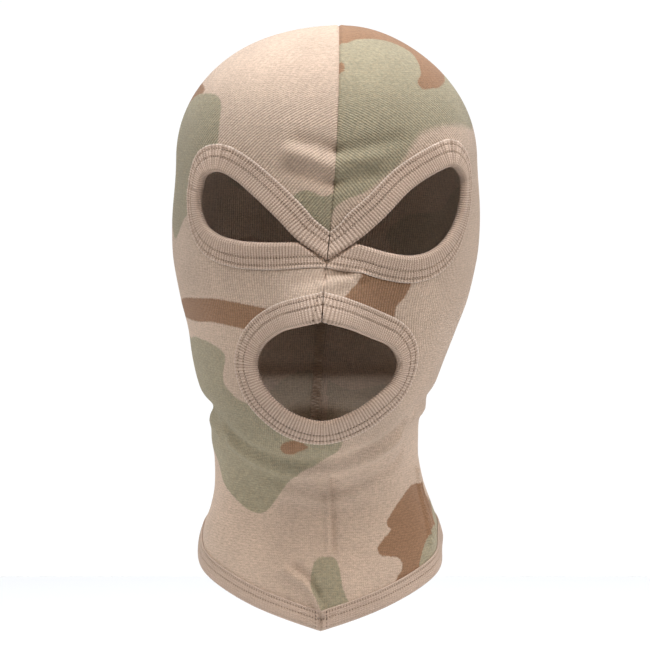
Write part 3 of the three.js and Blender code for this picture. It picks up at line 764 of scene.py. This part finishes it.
def smooth_outline(corners, per_side=6):
    """A closed curve through corners."""
    before, here, after, beyond = (np.roll(corners, k, axis=0)[:, None] for k in (1, 0, -1, -2))
    t = (np.arange(per_side) / per_side)[:, None]
    return cubic(t, here, after, (after - before) / 2, (beyond - here) / 2).reshape(-1, 2)


def inside_outline(spots, outline):
    """Whether each spot is inside a closed outline."""
    inside = np.zeros(spots.shape[:-1], bool)
    for (x0, y0), (x1, y1) in zip(outline, np.roll(outline, -1, axis=0)):
        if y0 == y1:
            continue
        crosses = (y0 > spots[..., 1]) != (y1 > spots[..., 1])
        inside ^= crosses & (spots[..., 0] < (x1 - x0) * (spots[..., 1] - y0) / (y1 - y0) + x0)
    return inside


def patch_depth(spots, outline):
    """How deep each spot lies inside an outline: negative outside, and limited to the margin."""
    depth = np.full(len(spots), -PATCH_MARGIN)
    low, high = outline.min(axis=0) - PATCH_MARGIN, outline.max(axis=0) + PATCH_MARGIN
    near = np.all((spots > low) & (spots < high), axis=-1)
    if near.any():
        off = distance_to_line(spots[near], np.vstack([outline, outline[:1]]))
        depth[near] = np.where(inside_outline(spots[near], outline), off, -off)
    return np.clip(depth, -PATCH_MARGIN, PATCH_MARGIN)


def camouflage(points, half, patches):
    """Depth inside the nearest of a colour's patches, for points that belong to halves of the panel."""
    charts = {"wrap": (wrap_chart(points), (DEGREE_MM, 1)), "crown": (crown_chart(points), (1, 1))}
    depth = np.full(len(points), -PATCH_MARGIN)
    for chart, side, corners in patches:
        spots, scale = charts[chart]
        here = patch_depth(spots, smooth_outline(np.array(corners) * scale))
        depth = np.maximum(depth, np.where((half == side) | (side == 0), here, -PATCH_MARGIN))
    return depth


def printed(points, half):
    return {
        "green": camouflage(points, half, GREEN_PATCHES),
        "brown": camouflage(points, half, BROWN_PATCHES),
    }


# ---- Strips around the face openings ----

def resample(path, count, length=None):
    """The path at even steps of its length, or of a given running length."""
    if length is None:
        length = running_length(path)
    even = np.linspace(0, length[-1], count)
    return np.stack([np.interp(even, length, column) for column in path.T], axis=-1)


def smooth_path(spots, count=1500):
    """Even steps along a curve through spots that doesn't overshoot at uneven gaps."""
    points = np.array(spots, float)
    points = np.vstack([2 * points[0] - points[1], points, 2 * points[-1] - points[-2]])
    gaps = np.sqrt(np.linalg.norm(np.diff(points, axis=0), axis=1))
    t = np.linspace(0, 1, 40, endpoint=False)[:, None]
    pieces = []
    for k in range(1, len(points) - 2):
        p0, p1, p2, p3 = points[k - 1 : k + 3]
        before, here, after = gaps[k - 1 : k + 2]
        leave = ((p1 - p0) / before - (p2 - p0) / (before + here) + (p2 - p1) / here) * here
        arrive = ((p2 - p1) / here - (p3 - p1) / (here + after) + (p3 - p2) / after) * here
        pieces.append(cubic(t, p1, p2, leave, arrive))
    return resample(np.vstack([*pieces, points[-2:-1]]), count)


def dot(a, b):
    return (a * b).sum(axis=1)


def step_aside(spots, heading, distance):
    """Spots moved sideways from their path by a distance measured on the cloth, which may be negative."""
    steps, probe = 4, 0.5
    moved = spots.copy()
    for _ in range(steps):
        here = face_base(moved)
        along_x = (face_base(moved + (probe, 0)) - here) / probe
        along_z = (face_base(moved + (0, probe)) - here) / probe
        travel = along_x * heading[:, :1] + along_z * heading[:, 1:]
        aside = np.cross(np.cross(along_x, along_z), travel)
        aside *= distance / steps / np.linalg.norm(aside, axis=1, keepdims=True)
        xx, zz, xz = dot(along_x, along_x), dot(along_z, along_z), dot(along_x, along_z)
        ax, az = dot(aside, along_x), dot(aside, along_z)
        moved += np.stack([ax * zz - az * xz, az * xx - ax * xz], axis=-1) / (xx * zz - xz**2)[:, None]
    return moved


class Strip:
    """A folded strip: its fold line and outer edge, at stations one RIB_STEP apart along its middle."""

    def __init__(self, fold_spots, outer_ends, side, start_lift=0.0):
        self.side, self.start_lift = side, start_lift
        coarse = 240
        fold = resample(smooth_path(fold_spots), coarse)
        heading = np.gradient(fold, axis=0)
        heading /= np.linalg.norm(heading, axis=1, keepdims=True)
        straight = step_aside(fold, heading, side * FACE_BINDING_WIDTH)
        outer = straight.copy()
        along = running_length(fold)
        for end, wanted in zip((0, -1), outer_ends):
            pull = 1 - smooth_step(np.abs(along - along[end]), 0, END_SKEW_LENGTH)
            outer += pull[:, None] * (np.array(wanted) - straight[end])
        measured = running_length(face_point((fold + outer) / 2, np.zeros(coarse)))
        self.length = measured[-1]
        self.stations = int(self.length / RIB_STEP)
        self.middle = np.linspace(0, self.length, self.stations)
        both = resample(np.hstack([fold, outer]), self.stations, measured)
        self.fold, self.outer = both[:, :2], both[:, 2:]
        self.heading_start, self.heading_end = heading[0], heading[-1]

    def spots(self, across):
        """Spots at distances from the fold, for every station."""
        part = (across / FACE_BINDING_WIDTH)[..., None]
        return self.fold[:, None] * (1 - part) + self.outer[:, None] * part

    def rib_phase(self, spots):
        """Ribs run square to the fold line, and the slanting ends of the strip cut through them."""
        half, reach = self.stations // 2, END_RIB_REACH
        start = self.fold[0] - self.heading_start * reach
        end = self.fold[-1] + self.heading_end * reach
        first, last = slice(0, half, 4), slice(half, self.stations, 4)
        line = np.vstack([start, self.fold[first], self.fold[half]])
        middle = [-reach, *self.middle[first], self.middle[half]]
        phase = [nearest_value(spots[:half], line, middle)]
        middle = [*self.middle[last], self.length + reach]
        phase.append(nearest_value(spots[half:], np.vstack([self.fold[last], end]), middle))
        return np.vstack(phase) / RIB_PITCH

    def raised(self, spots, lift):
        """Lift of spots on the strip: its start stands over its end, which dives in under the start."""
        if not self.start_lift:
            return lift
        middle = self.middle.reshape(-1, *[1] * (lift.ndim - 1))
        lift = lift + self.start_lift * np.exp(-((middle / START_LIFT_REACH) ** 2))
        line = self.fold[int(START_LIFT_REACH / RIB_STEP)] - self.fold[0]
        off = spots - self.fold[0]
        past = self.side * (line[0] * off[..., 1] - line[1] * off[..., 0]) / np.hypot(*line)
        under = smooth_step(past, *UNDER_EDGE) * (middle > self.length / 2)
        return lift * (1 - under) + (UNDER_LIFT + UNDER_SQUASH * lift) * under

    def thread_path(self, across, lift):
        """Path of a thread along the strip, at distances from the fold."""
        spots = self.spots(across[:, None])[:, 0]
        return face_point(spots, self.raised(spots, lift))[2:-2]


def nearest_value(spots, line, values):
    """For each spot, the value at the nearest place of a polyline that has a value at each corner."""
    nearest = np.full(spots.shape[:-1], np.inf)
    found = np.zeros(spots.shape[:-1])
    for k in range(len(line) - 1):
        gap, part = line_gap(spots, line[k], line[k + 1])
        found = np.where(gap < nearest, values[k] * (1 - part) + values[k + 1] * part, found)
        nearest = np.minimum(nearest, gap)
    return found


def at_seam(side, z):
    return (float(seam_x(z)) + side * SEAM_SLIT / 2, z)


def eye_strip(fold_spots, side, end_z):
    """The strip starts at the seam on top, and ends at the seam under its own start."""
    spots = [at_seam(side, UPPER_BAND_FOLD_Z), *fold_spots, at_seam(side, end_z)]
    outer_ends = (at_seam(side, UPPER_BAND_TOP_Z), at_seam(side, LOWER_BAND_OUTER_Z))
    return Strip(spots, outer_ends, side, EYE_START_LIFT)


def mouth_strip():
    spots = [at_seam(1, MOUTH_TOP_Z), *MOUTH_FOLD, at_seam(-1, MOUTH_TOP_Z)]
    return Strip(spots, (at_seam(1, MOUTH_OUTER_Z), at_seam(-1, MOUTH_OUTER_Z)), 1)


def face_lift(across, width):
    """Height of the outer face of a strip, fullest along its fold and thinner towards its outer edge."""
    return FACE_TOP - (FACE_TOP - FACE_EDGE) * 1.1 * smooth_step(across, -1.0, width + 2.0)


def strip_outline(width, rows, depth):
    """Closed outline of a folded strip, as rows: across, lift, outward across, outward lift, rib depth, face.

    face is 1 on the outer face and 0 elsewhere. The strip dips at the rows of stitches.
    """
    bottom, leg = -1.25, 1.0
    reach = (FACE_TOP - bottom) / 2
    middle = (FACE_TOP + bottom) / 2
    inner, inside = width - 1, reach + 1.5
    points = []
    for a in np.linspace(width - 0.25, reach + 0.3, int((width - reach) / 0.42)):
        dip = sum(0.1 * np.exp(-(((a - row) / 0.6) ** 2)) for row in rows)
        points.append((a, face_lift(a, width) - dip, 0, 1, depth, 1))
    roll = (face_lift(reach, width) - bottom) / 2
    for angle in np.radians(np.linspace(90, 270, 13)):
        c, s = math.cos(angle), math.sin(angle)
        points.append((reach + reach * c, bottom + roll + roll * s, c, s, depth, 1))
    for a in np.linspace(inside, inner, 6):
        points.append((a, bottom, 0, -1, depth * 0.6, 0))
    return np.array(points + [
        (inner + 0.3, bottom + 0.35, 1, 0, 0, 0),
        (inner, bottom + leg, 0, 1, 0, 0),
        (inside, bottom + leg, 0, 1, 0, 0),
        (leg + 0.2, middle - 0.2, 1, 0, 0, 0),
        (inside, PANEL_THICK + 0.35, 0, -1, 0, 0),
        (width * 0.6, PANEL_THICK + 0.15, 0, -1, 0, 0),
        (width - 0.15, PANEL_THICK + 0.05, 0, -1, 0, 0),
        (width + 0.12, PANEL_THICK + 0.2, 1, 0, depth * 0.5, 1),
        (width + 0.05, FACE_EDGE - 0.3, 0.8, 0.6, depth * 0.5, 1),
    ])


def rib_groove(phase):
    """0 on a rib and 1 in the groove between two ribs."""
    return ((1 + np.cos(2 * np.pi * phase)) / 2) ** 1.6


def row_holes(off_row, along, stitch):
    """1 at each needle hole of a row of stitches, fading to 0 round it."""
    off_hole = (along / stitch + 0.5) % 1 * stitch - stitch / 2
    return np.exp(-((off_row / HOLE_SPREAD) ** 2) - (off_hole / HOLE_SPREAD) ** 2)


def short_stitch(width):
    """Length of a short row across a strip, and of each of its stitches."""
    length = width - 2 * SHORT_ROW_INSET
    return length, length / round(length / SHORT_STITCH)


def short_row_holes(across, off_join, width):
    length, stitch = short_stitch(width)
    along = across - SHORT_ROW_INSET
    is_on_row = (along > -stitch / 2) & (along < length + stitch / 2)
    return row_holes(off_join - SHORT_ROW_ASIDE, along, stitch) * is_on_row


class StripMesh:
    """Points of a strip before they are put in place: one row of its outline for each station."""

    def __init__(self, width, rows, rib_depth, along, stitch):
        outline = strip_outline(width, rows, rib_depth)
        self.width, self.along, self.sides = width, along[:, None], len(outline)
        columns = [np.tile(column, (len(along), 1)) for column in outline.T]
        self.across, self.lift, self.out_across, self.out_lift, self.depth, self.face = columns
        self.hole = sum(row_holes(self.across - row, self.along, stitch) for row in rows)

    def sunk(self, groove, pinch=0.0):
        """Distances across and lifts, with the grooves between ribs, the needle holes and a pinch sunk in."""
        sink = self.depth * groove + HOLE_DEPTH * self.hole * self.face + PINCH_DEPTH * pinch
        self.across = np.clip(self.across - self.out_across * sink * (1 - pinch), 0, None)
        return self.across, self.lift - self.out_lift * sink

    def piece(self, name, points, groove, material, is_ring=False):
        attributes = {
            "across": self.across,
            # groove also darkens the colour: painted shade in the grooves.
            "groove": groove,
            # Painted highlight along the strip's outer edge.
            "edge_highlight": smooth_step(self.width - self.across, *EDGE_HIGHLIGHT_SPAN) * self.face,
            # The needle holes, which also get painted shade.
            "hole": self.hole * self.face,
        }
        faces = bar_faces(len(self.along), self.sides, is_ring)
        return make_piece(name, points.reshape(-1, 3), faces, material, attributes)


def face_binding(name, strip):
    mesh = StripMesh(FACE_BINDING_WIDTH, FACE_STITCH_ROWS, RIB_DEPTH, strip.middle, STITCH)
    if not strip.start_lift:
        mesh.hole += short_row_holes(mesh.across, strip.length - mesh.along, FACE_BINDING_WIDTH)
    groove = rib_groove(strip.rib_phase(strip.spots(mesh.across)))
    across, lift = mesh.sunk(groove)
    spots = strip.spots(across)
    return mesh.piece(name, face_point(spots, strip.raised(spots, lift)), groove, RIB)


def stitch_wave(along, stitch):
    """Height of the thread against the outer face: it rides over the cloth and dives in at each hole."""
    return STITCH_DIVE + STITCH_RISE * np.abs(np.sin(np.pi * along / stitch)) ** STITCH_ROUNDNESS


def zigzag(along, stitch, rows):
    saw = 2 * np.abs((along / stitch) % 1 - 0.5)
    return rows[0] + (rows[1] - rows[0]) * smooth_step(saw, 0.1, 0.9)


def seam_threads(opening, along, stitch, width, rows, path_at, is_ring=False):
    """The two needle threads of a row of stitches, and the looper that links them behind it."""
    wave = stitch_wave(along, stitch)
    for kind, row in zip(("inner", "outer"), rows):
        path = path_at(0 * along + row, face_lift(row, width) + wave)
        thread_piece(f"{opening}_{kind}_needle_thread", [path], is_ring)
    path = path_at(zigzag(along, stitch, rows), 0 * along + LOOPER_LIFT)
    thread_piece(f"{opening}_looper_thread", [path], is_ring)


# ---- Hem ----

def hem_point(turn, across, lift):
    return shell_point(turn, run_at(hem_z(turn) + across), lift)


def hem_turns():
    """Angles at even steps along the hem, one of them exactly at its point; their places; its length."""
    dense = np.linspace(-np.pi, np.pi, 2001)
    length = running_length(hem_point(dense, HEM_BINDING_WIDTH / 2, 0 * dense))
    half = int(length[-1] / HEM_STEP / 2)
    even = np.linspace(0, length[-1], 2 * half + 1)[:-1]
    return np.interp(even, length, dense), even, length[-1]


def hem_pieces():
    """The hem's strip, pinched where it turns at its point, and its threads."""
    turns, along, length = hem_turns()
    stitch = length / round(length / STITCH)
    mesh = StripMesh(HEM_BINDING_WIDTH, HEM_STITCH_ROWS, HEM_RIB_DEPTH, along, stitch)
    mesh.hole += short_row_holes(mesh.across, np.abs(mesh.along - length / 2), HEM_BINDING_WIDTH)
    mesh.hole *= HEM_HOLE_SHARE
    groove = rib_groove(mesh.along / stitch + 0 * mesh.across)
    turn = turns[:, None] + 0 * mesh.across
    mitre = np.exp(-((turn / MITRE_TURN) ** 2)) * mesh.face
    points = hem_point(turn, *mesh.sunk(groove, mitre))
    # The fold at the hem's point gets painted shade through the groove colour.
    groove = np.maximum(groove, mitre * MITRE_TONE)
    binding = mesh.piece("hem_binding", points, groove, HEM_RIB, is_ring=True)

    def path_at(across, lift):
        return hem_point(turns, across, lift)

    seam_threads("hem", along, stitch, HEM_BINDING_WIDTH, HEM_STITCH_ROWS, path_at, is_ring=True)
    return binding


# ---- Short rows ----

def stitch_row(name, spots_at, width):
    """A short straight row of stitches across a strip; spots_at gives its (x, z) spots, from the fold out."""
    length, stitch = short_stitch(width)
    along = np.linspace(0, length, 60)
    across = SHORT_ROW_INSET + along
    lift = face_lift(across, width) + SHORT_STITCH_LIFT + stitch_wave(along, stitch)
    thread_piece(name, [face_point(spots_at(across), lift)])


def short_rows(mouth):
    def beside_join(across):
        part = (across / FACE_BINDING_WIDTH)[:, None]
        return mouth.fold[-1] * (1 - part) + mouth.outer[-1] * part - (SHORT_ROW_ASIDE, 0)

    stitch_row("mouth_join_stitch", beside_join, FACE_BINDING_WIDTH)
    for name, side in (("right", -1), ("left", 1)):

        def beside_point(across, x=side * SHORT_ROW_ASIDE):
            return np.stack([0 * across + x, hem_z(0.0) + HEM_ROW_RISE + across], axis=-1)

        stitch_row(f"{name}_hem_point_stitch", beside_point, HEM_BINDING_WIDTH)


# ---- Panel ----

def panel_turns():
    near = np.array(SEAM_COLUMNS) / SEAM_COLUMN_RADIUS
    front = np.linspace(near[-1], np.pi / 2, FRONT_COLUMNS + 1)[1:]
    back = np.linspace(np.pi / 2, np.pi - near[-1], BACK_COLUMNS + 1)[1:]
    return np.concatenate([near, front, back, np.pi - near[-2::-1]])


def panel_runs(turns):
    """Runs of every row, as rows by columns. The last rows end inside the hem."""
    crown = np.linspace(CROWN_FIRST_RUN, FACE_TOP_RUN, CROWN_ROWS)
    face = np.linspace(FACE_TOP_RUN, FACE_BOTTOM_RUN, FACE_ROWS + 1)[1:]
    fixed = np.concatenate([crown, face])[:, None] + 0 * turns
    edge = run_at(hem_z(turns) + PANEL_EDGE_INSET)
    part = (np.arange(NECK_ROWS) + 1)[:, None] / NECK_ROWS
    neck = FACE_BOTTOM_RUN + (edge - FACE_BOTTOM_RUN) * part
    return np.vstack([fixed, neck])


def wale_setback(z):
    """How far the seam cuts into the wales of each half, on the way up from the mouth to the crown."""
    return np.interp(z, [-150, -125, -100, -75, -50, -25, 0], [0, 3, 11, 29, 50, 60, 63])


def wale_axis(base, turns):
    """Distance across the wales. They hang straight at the side, and slant up to the seam in front."""
    steps = np.linalg.norm(np.diff(base, axis=1), axis=2)
    arc = np.concatenate([np.zeros((len(base), 1)), np.cumsum(steps, axis=1)], axis=1)
    side = int(np.argmin(np.abs(turns - np.pi / 2)))
    front = arc[:, side : side + 1]
    back = arc[:, -1:] - front
    z = base[:, :1, 2]
    widest = int(np.argmin(np.abs(z[:, 0] + CROWN_HEIGHT)))
    front_size = np.where(z > -CROWN_HEIGHT, front, front[widest])
    back_size = np.where(z > -CROWN_HEIGHT, back, back[widest])
    wale = np.where(arc < front, (arc / front - 1) * front_size, (arc - front) / back * back_size)
    return wale + front[widest] + wale_setback(z) * np.exp(-arc / WALE_SLANT_REACH), arc


def rib_strength(base):
    """The wales show best where the knit is stretched over the brow and face."""
    z = base[..., 2]
    crown = smooth_step(-z, 14, 48)
    neck = 1 - 0.72 * smooth_step(-z, 196, 226)
    cheek = 1 - 0.35 * smooth_step(-z, 128, 150) * smooth_step(np.abs(base[..., 0]), 20, 48)
    return crown * neck * cheek


def print_softness(base, half):
    """The print's edges are crisp, but for the green's long edge over the left brow, which is blurred."""
    brow = smooth_step(base[:, 0], 16, 30) * smooth_step(base[:, 2], -112, -92) * (base[:, 1] < 0)
    return CRISP_EDGE + BROW_BLUR * brow * (half > 0)


def opening_cuts(strips):
    """Edges of the panel in the openings, well inside the strips that hide them."""
    part = PANEL_EDGE_INSET / FACE_BINDING_WIDTH
    cuts = []
    for opening, strip in strips.items():
        cut = strip.fold * (1 - part) + strip.outer * part
        if opening != "mouth":
            cut = np.vstack([at_seam(0, cut[0, 1]), cut, at_seam(0, EYE_CUT_BOTTOM_Z)])
        cuts.append(cut[::4])
    return cuts


def seam_groove(distance, z, is_front):
    """Dip of the outer face where the two halves meet, with a soft shoulder on both sides."""
    there = np.where(is_front, 1 - smooth_step(SEAM_END_Z - z, -2, 2), 1)
    (depth, spread), (height, aside, width) = SEAM_DIP, SEAM_SHOULDER
    dip = -depth * np.exp(-((distance / spread) ** 2))
    return there * (dip + height * np.exp(-(((distance - aside) / width) ** 2)))


def panel_half(side, turns, runs):
    """Points of one half, row by row and then the crown, as three layers, and what the points carry."""
    turn = side * turns + 0 * runs
    base, normal = base_point(turn, runs), base_normal(turn, runs)
    wale, arc = wale_axis(base, turns)
    groove = seam_groove(np.minimum(arc, arc[:, -1:] - arc), base[..., 2], np.abs(turn) < np.pi / 2)
    inner = base + normal * cloth_lift(base)[..., None]
    outer = inner + normal * (PANEL_THICK + groove)[..., None]
    crown = np.array([SEAM_AT_CROWN, 0.0, 0.0])
    tips = crown, crown + (0, 0, PANEL_THICK - 0.5), crown
    smooth, outer, inner = (
        np.vstack([layer.reshape(-1, 3), tip]) for layer, tip in zip((base, outer, inner), tips)
    )
    carried = {
        "wale": np.append(wale, 0),
        "course": np.append(runs, 0),
        "rib": np.append(rib_strength(base), 0),
        "softness": print_softness(smooth, side),
        **printed(smooth, side),
    }
    return smooth, outer, inner, carried


def hood_panel(strips):
    turns = panel_turns()
    runs = panel_runs(turns)
    *layers, carried = zip(*(panel_half(side, turns, runs) for side in (1, -1)))
    smooth, outer, inner = map(np.vstack, layers)
    carried = {key: np.concatenate([half[key] for half in carried]) for key in carried[0]}
    left = np.arange(runs.size).reshape(runs.shape)
    right = left + runs.size + 1
    is_joined = height_at(runs[:, 0]) < SEAM_END_Z
    right[is_joined, 0] = left[is_joined, 0]
    cuts = opening_cuts(strips)
    faces = []
    for grid, tip, order in ((left, runs.size, 1), (right, 2 * runs.size + 1, -1)):
        quads = grid_quads(grid)
        middle = smooth[quads].mean(axis=1)
        hidden = np.any([inside_outline(middle[:, [0, 2]], cut) for cut in cuts], axis=0)
        quads = quads[~hidden | (middle[:, 1] > OPENINGS_IN_FRONT_OF)]
        fan = np.stack([0 * grid[0, 1:] + tip, grid[0, :-1], grid[0, 1:]], axis=-1)
        faces += [face[::order] for face in quads.tolist() + fan.tolist()]
    return thick_sheet("hood_panel", outer, inner, faces, KNIT, "camouflage_knit", carried)


def thick_sheet(name, outer, inner, faces, material, slot, carried):
    """Closes an outer and an inner layer of the same faces along every edge that only one face has."""
    total = len(outer)
    edges = dict.fromkeys((a, b) for face in faces for a, b in zip(face, face[1:] + face[:1]))
    closed = faces + [[total + k for k in reversed(face)] for face in faces]
    closed += [[b, a, total + a, total + b] for a, b in edges if (b, a) not in edges]
    used = np.unique(np.concatenate(closed))
    place = np.zeros(2 * total, int)
    place[used] = np.arange(len(used))
    attributes = {key: np.concatenate([values, values])[used] for key, values in carried.items()}
    attributes["inside"] = used >= total
    closed = [place[face].tolist() for face in closed]
    return make_piece(name, np.vstack([outer, inner])[used], closed, material, attributes)


# ---- Inside of the hood ----

def seam_point(along, across, lift):
    """Point near the centre seam, on the inside: along it from the mouth over the crown to the nape."""
    run = np.maximum(np.abs(along), 1.0)
    is_front = along < 0
    behind = is_front * smooth_step(UPPER_BAND_TOP_Z + 8 - height_at(run), 0, 6)
    point = shell_point(np.where(is_front, 0.0, np.pi), run, lift - BEHIND_BINDINGS * behind)
    point[..., 0] += across
    return point


def centre_seam():
    """The overlocked seam allowance, the row of stitches along it and the thread that wraps its edge."""
    front, back = run_at(np.array([MOUTH_TOP_Z + SEAM_PAST_MOUTH, HEM_BACK_Z + NAPE_END_CLEAR]))
    along = np.linspace(-front, back, 1100)
    edge = 2.4
    outline = np.array([
        (-edge, -0.35), (0, -0.15), (edge, -0.35), (edge + 0.15, -0.9), (edge, -1.4), (0, -1.5),
        (-edge, -1.4), (-edge - 0.15, -0.9),
    ])
    wrap = 0.14 * np.sin(2 * np.pi * along / OVERLOCK_PITCH)[:, None]
    across = outline[:, 0] * (1 + wrap * 0.5)
    lift = outline[:, 1] + wrap * 0.6
    points = seam_point(along[:, None] + 0 * across, across, lift).reshape(-1, 3)
    cloth = {
        "wale": np.repeat(along, len(outline)),
        "course": np.tile(outline[:, 0], len(along)),
        "rib": 0.8,
        "inside": 1.0,
        "softness": CRISP_EDGE,
        **printed(points, 1),
    }
    faces = bar_faces(len(along), len(outline))
    make_piece("centre_seam_overlock", points, faces, KNIT, cloth)
    straight = seam_point(along, 2.1, -1.35 - 0.3 * stitch_wave(along, SHORT_STITCH))
    over = seam_point(along, zigzag(along, SHORT_STITCH, (-2.2, 2.2)), 0 * along - 1.72)
    thread_piece("centre_seam_thread", [straight, over])


def care_label():
    half, top, height = LABEL["half_turn"], LABEL["top"], LABEL["height"]
    across = np.linspace(-half, half, 25)
    down = np.linspace(0, height, 25)[:, None]
    hang = LABEL["hang"] * np.sin(down / height * np.pi) * np.cos(across / half * np.pi / 2)
    turn = np.pi + across + 0 * down
    run = run_at(top - down) + 0 * across
    layers = []
    for side in (1, -1):
        lift = LABEL["lift"] + side * LABEL["thick"] / 2 - hang
        layers.append(raised_point(turn, run, lift).reshape(-1, 3))
    faces = grid_quads(np.arange(run.size).reshape(run.shape)).tolist()
    label = thick_sheet("care_label", *layers, faces, LABEL_CLOTH, "label_cloth", {})
    along = np.linspace(-half * 0.97, half * 0.97, 120)
    wave = np.abs(np.sin(np.linspace(0, np.pi * LABEL["stitches"], 120))) ** STITCH_ROUNDNESS
    run = run_at(0 * along + top - LABEL["stitch_drop"])
    path = raised_point(np.pi + along, run, LABEL["lift"] - LABEL["stitch_rise"] * (1 + wave))
    thread_piece("care_label_stitch", [path], radius=LABEL["thread_radius"])
    return label


# ---- The balaclava ----

strips = {
    "right_eye": eye_strip(RIGHT_EYE_FOLD, -1, RIGHT_EYE_END_Z),
    "left_eye": eye_strip(LEFT_EYE_FOLD, 1, LEFT_EYE_END_Z),
    "mouth": mouth_strip(),
}
panel = hood_panel(strips)
for opening, strip in strips.items():
    face_binding(f"{opening}_binding", strip)
    seam_threads(
        opening, strip.middle, STITCH, FACE_BINDING_WIDTH, FACE_STITCH_ROWS, strip.thread_path
    )
hem = hem_pieces()
short_rows(strips["mouth"])
centre_seam()
label = care_label()


# ---- Stage ----

FLOOR_Z = -0.42
FLOOR_HALF = 0.6
FLOOR_WHITE = shade(250, 250, 250)
LIGHT_TARGET = (0.0, -0.02, -0.1)
LIGHT_SIZE = 0.6
# Name, place, power, tint. Powers and tints began as a helper script's fit to the photograph's tones, and
# were then changed by eye.
LIGHTS = [
    ("overhead", (0.0, -0.15, 1.05), 3.6, (0.6, 0.79, 1.0)),
    ("high_front", (0.0, -0.42, 0.98), 6.2, (0.78, 0.89, 1.0)),
    ("front", (0.0, -0.65, 0.85), 4.4, (1.0, 0.87, 0.77)),
    ("left", (0.75, -0.32, 0.6), 5.6, (1.0, 0.97, 0.95)),
    ("right", (-0.75, -0.32, 0.6), 3.6, (1.0, 0.97, 0.95)),
]
WORLD_FRONT = 0.06
WORLD_BACK = 1.02
WORLD_FADE = (-0.6, 0.7)
CAMERA_TARGET = (-0.0008, -0.006, -0.157)
CAMERA_DISTANCE = 1.3
CAMERA_ELEVATION = math.radians(6)
CAMERA_LENS = 135.6
CAMERA_SENSOR = 36.0


def add_floor():
    n = material_nodes("floor_paper")
    n.link(FLOOR_WHITE, n.shader.inputs["Base Color"])
    n.link(0.9, n.shader.inputs["Roughness"])
    mesh = bpy.data.meshes.new("floor")
    corners = [(x * FLOOR_HALF, y * FLOOR_HALF, FLOOR_Z) for x, y in ((-1, -1), (1, -1), (1, 1), (-1, 1))]
    mesh.from_pydata(corners, [], [(0, 1, 2, 3)])
    mesh.materials.append(n.owner)
    floor = bpy.data.objects.new("floor", mesh)
    bpy.context.scene.collection.objects.link(floor)


def aim(name, data, place, way):
    """A light or camera at a place, looking along a direction."""
    thing = bpy.data.objects.new(name, data)
    thing.location = place
    thing.rotation_mode = "QUATERNION"
    thing.rotation_quaternion = way.to_track_quat("-Z", "Y")
    bpy.context.scene.collection.objects.link(thing)
    return thing


def add_area_light(name, place, power, tint):
    data = bpy.data.lights.new(name, "AREA")
    data.shape = "SQUARE"
    data.size = LIGHT_SIZE
    data.energy = power
    data.color = tint
    aim(name, data, place, Vector(LIGHT_TARGET) - Vector(place))


def add_world():
    """Lights the hood like a studio with one white wall behind it, and shows as white from every side."""
    world = bpy.data.worlds.new("studio")
    n = Nodes(world, "Background")
    direction = n.add("ShaderNodeSeparateXYZ")
    n.link(n.add("ShaderNodeTexCoord").outputs["Generated"], direction.inputs[0])
    fade = n.span(direction.outputs["Y"], *WORLD_FADE, WORLD_FRONT, WORLD_BACK)
    shown = n.add("ShaderNodeMix")
    is_camera = n.add("ShaderNodeLightPath").outputs["Is Camera Ray"]
    for value, socket in ((is_camera, 0), (fade, 2), (WORLD_BACK, 3)):
        n.link(value, shown.inputs[socket])
    n.link(shown.outputs[0], n.shader.inputs["Strength"])
    n.link((1.0, 1.0, 1.0), n.shader.inputs["Color"])
    bpy.context.scene.world = world


def add_camera():
    data = bpy.data.cameras.new("camera")
    data.lens = CAMERA_LENS
    data.sensor_width = CAMERA_SENSOR
    back = Vector((0.0, -math.cos(CAMERA_ELEVATION), math.sin(CAMERA_ELEVATION)))
    place = Vector(CAMERA_TARGET) + back * CAMERA_DISTANCE
    bpy.context.scene.camera = aim("camera", data, place, -back)


add_floor()
add_world()
for name, place, power, tint in LIGHTS:
    add_area_light(name, place, power, tint)
add_camera()
bpy.context.scene.view_settings.view_transform = "Standard"
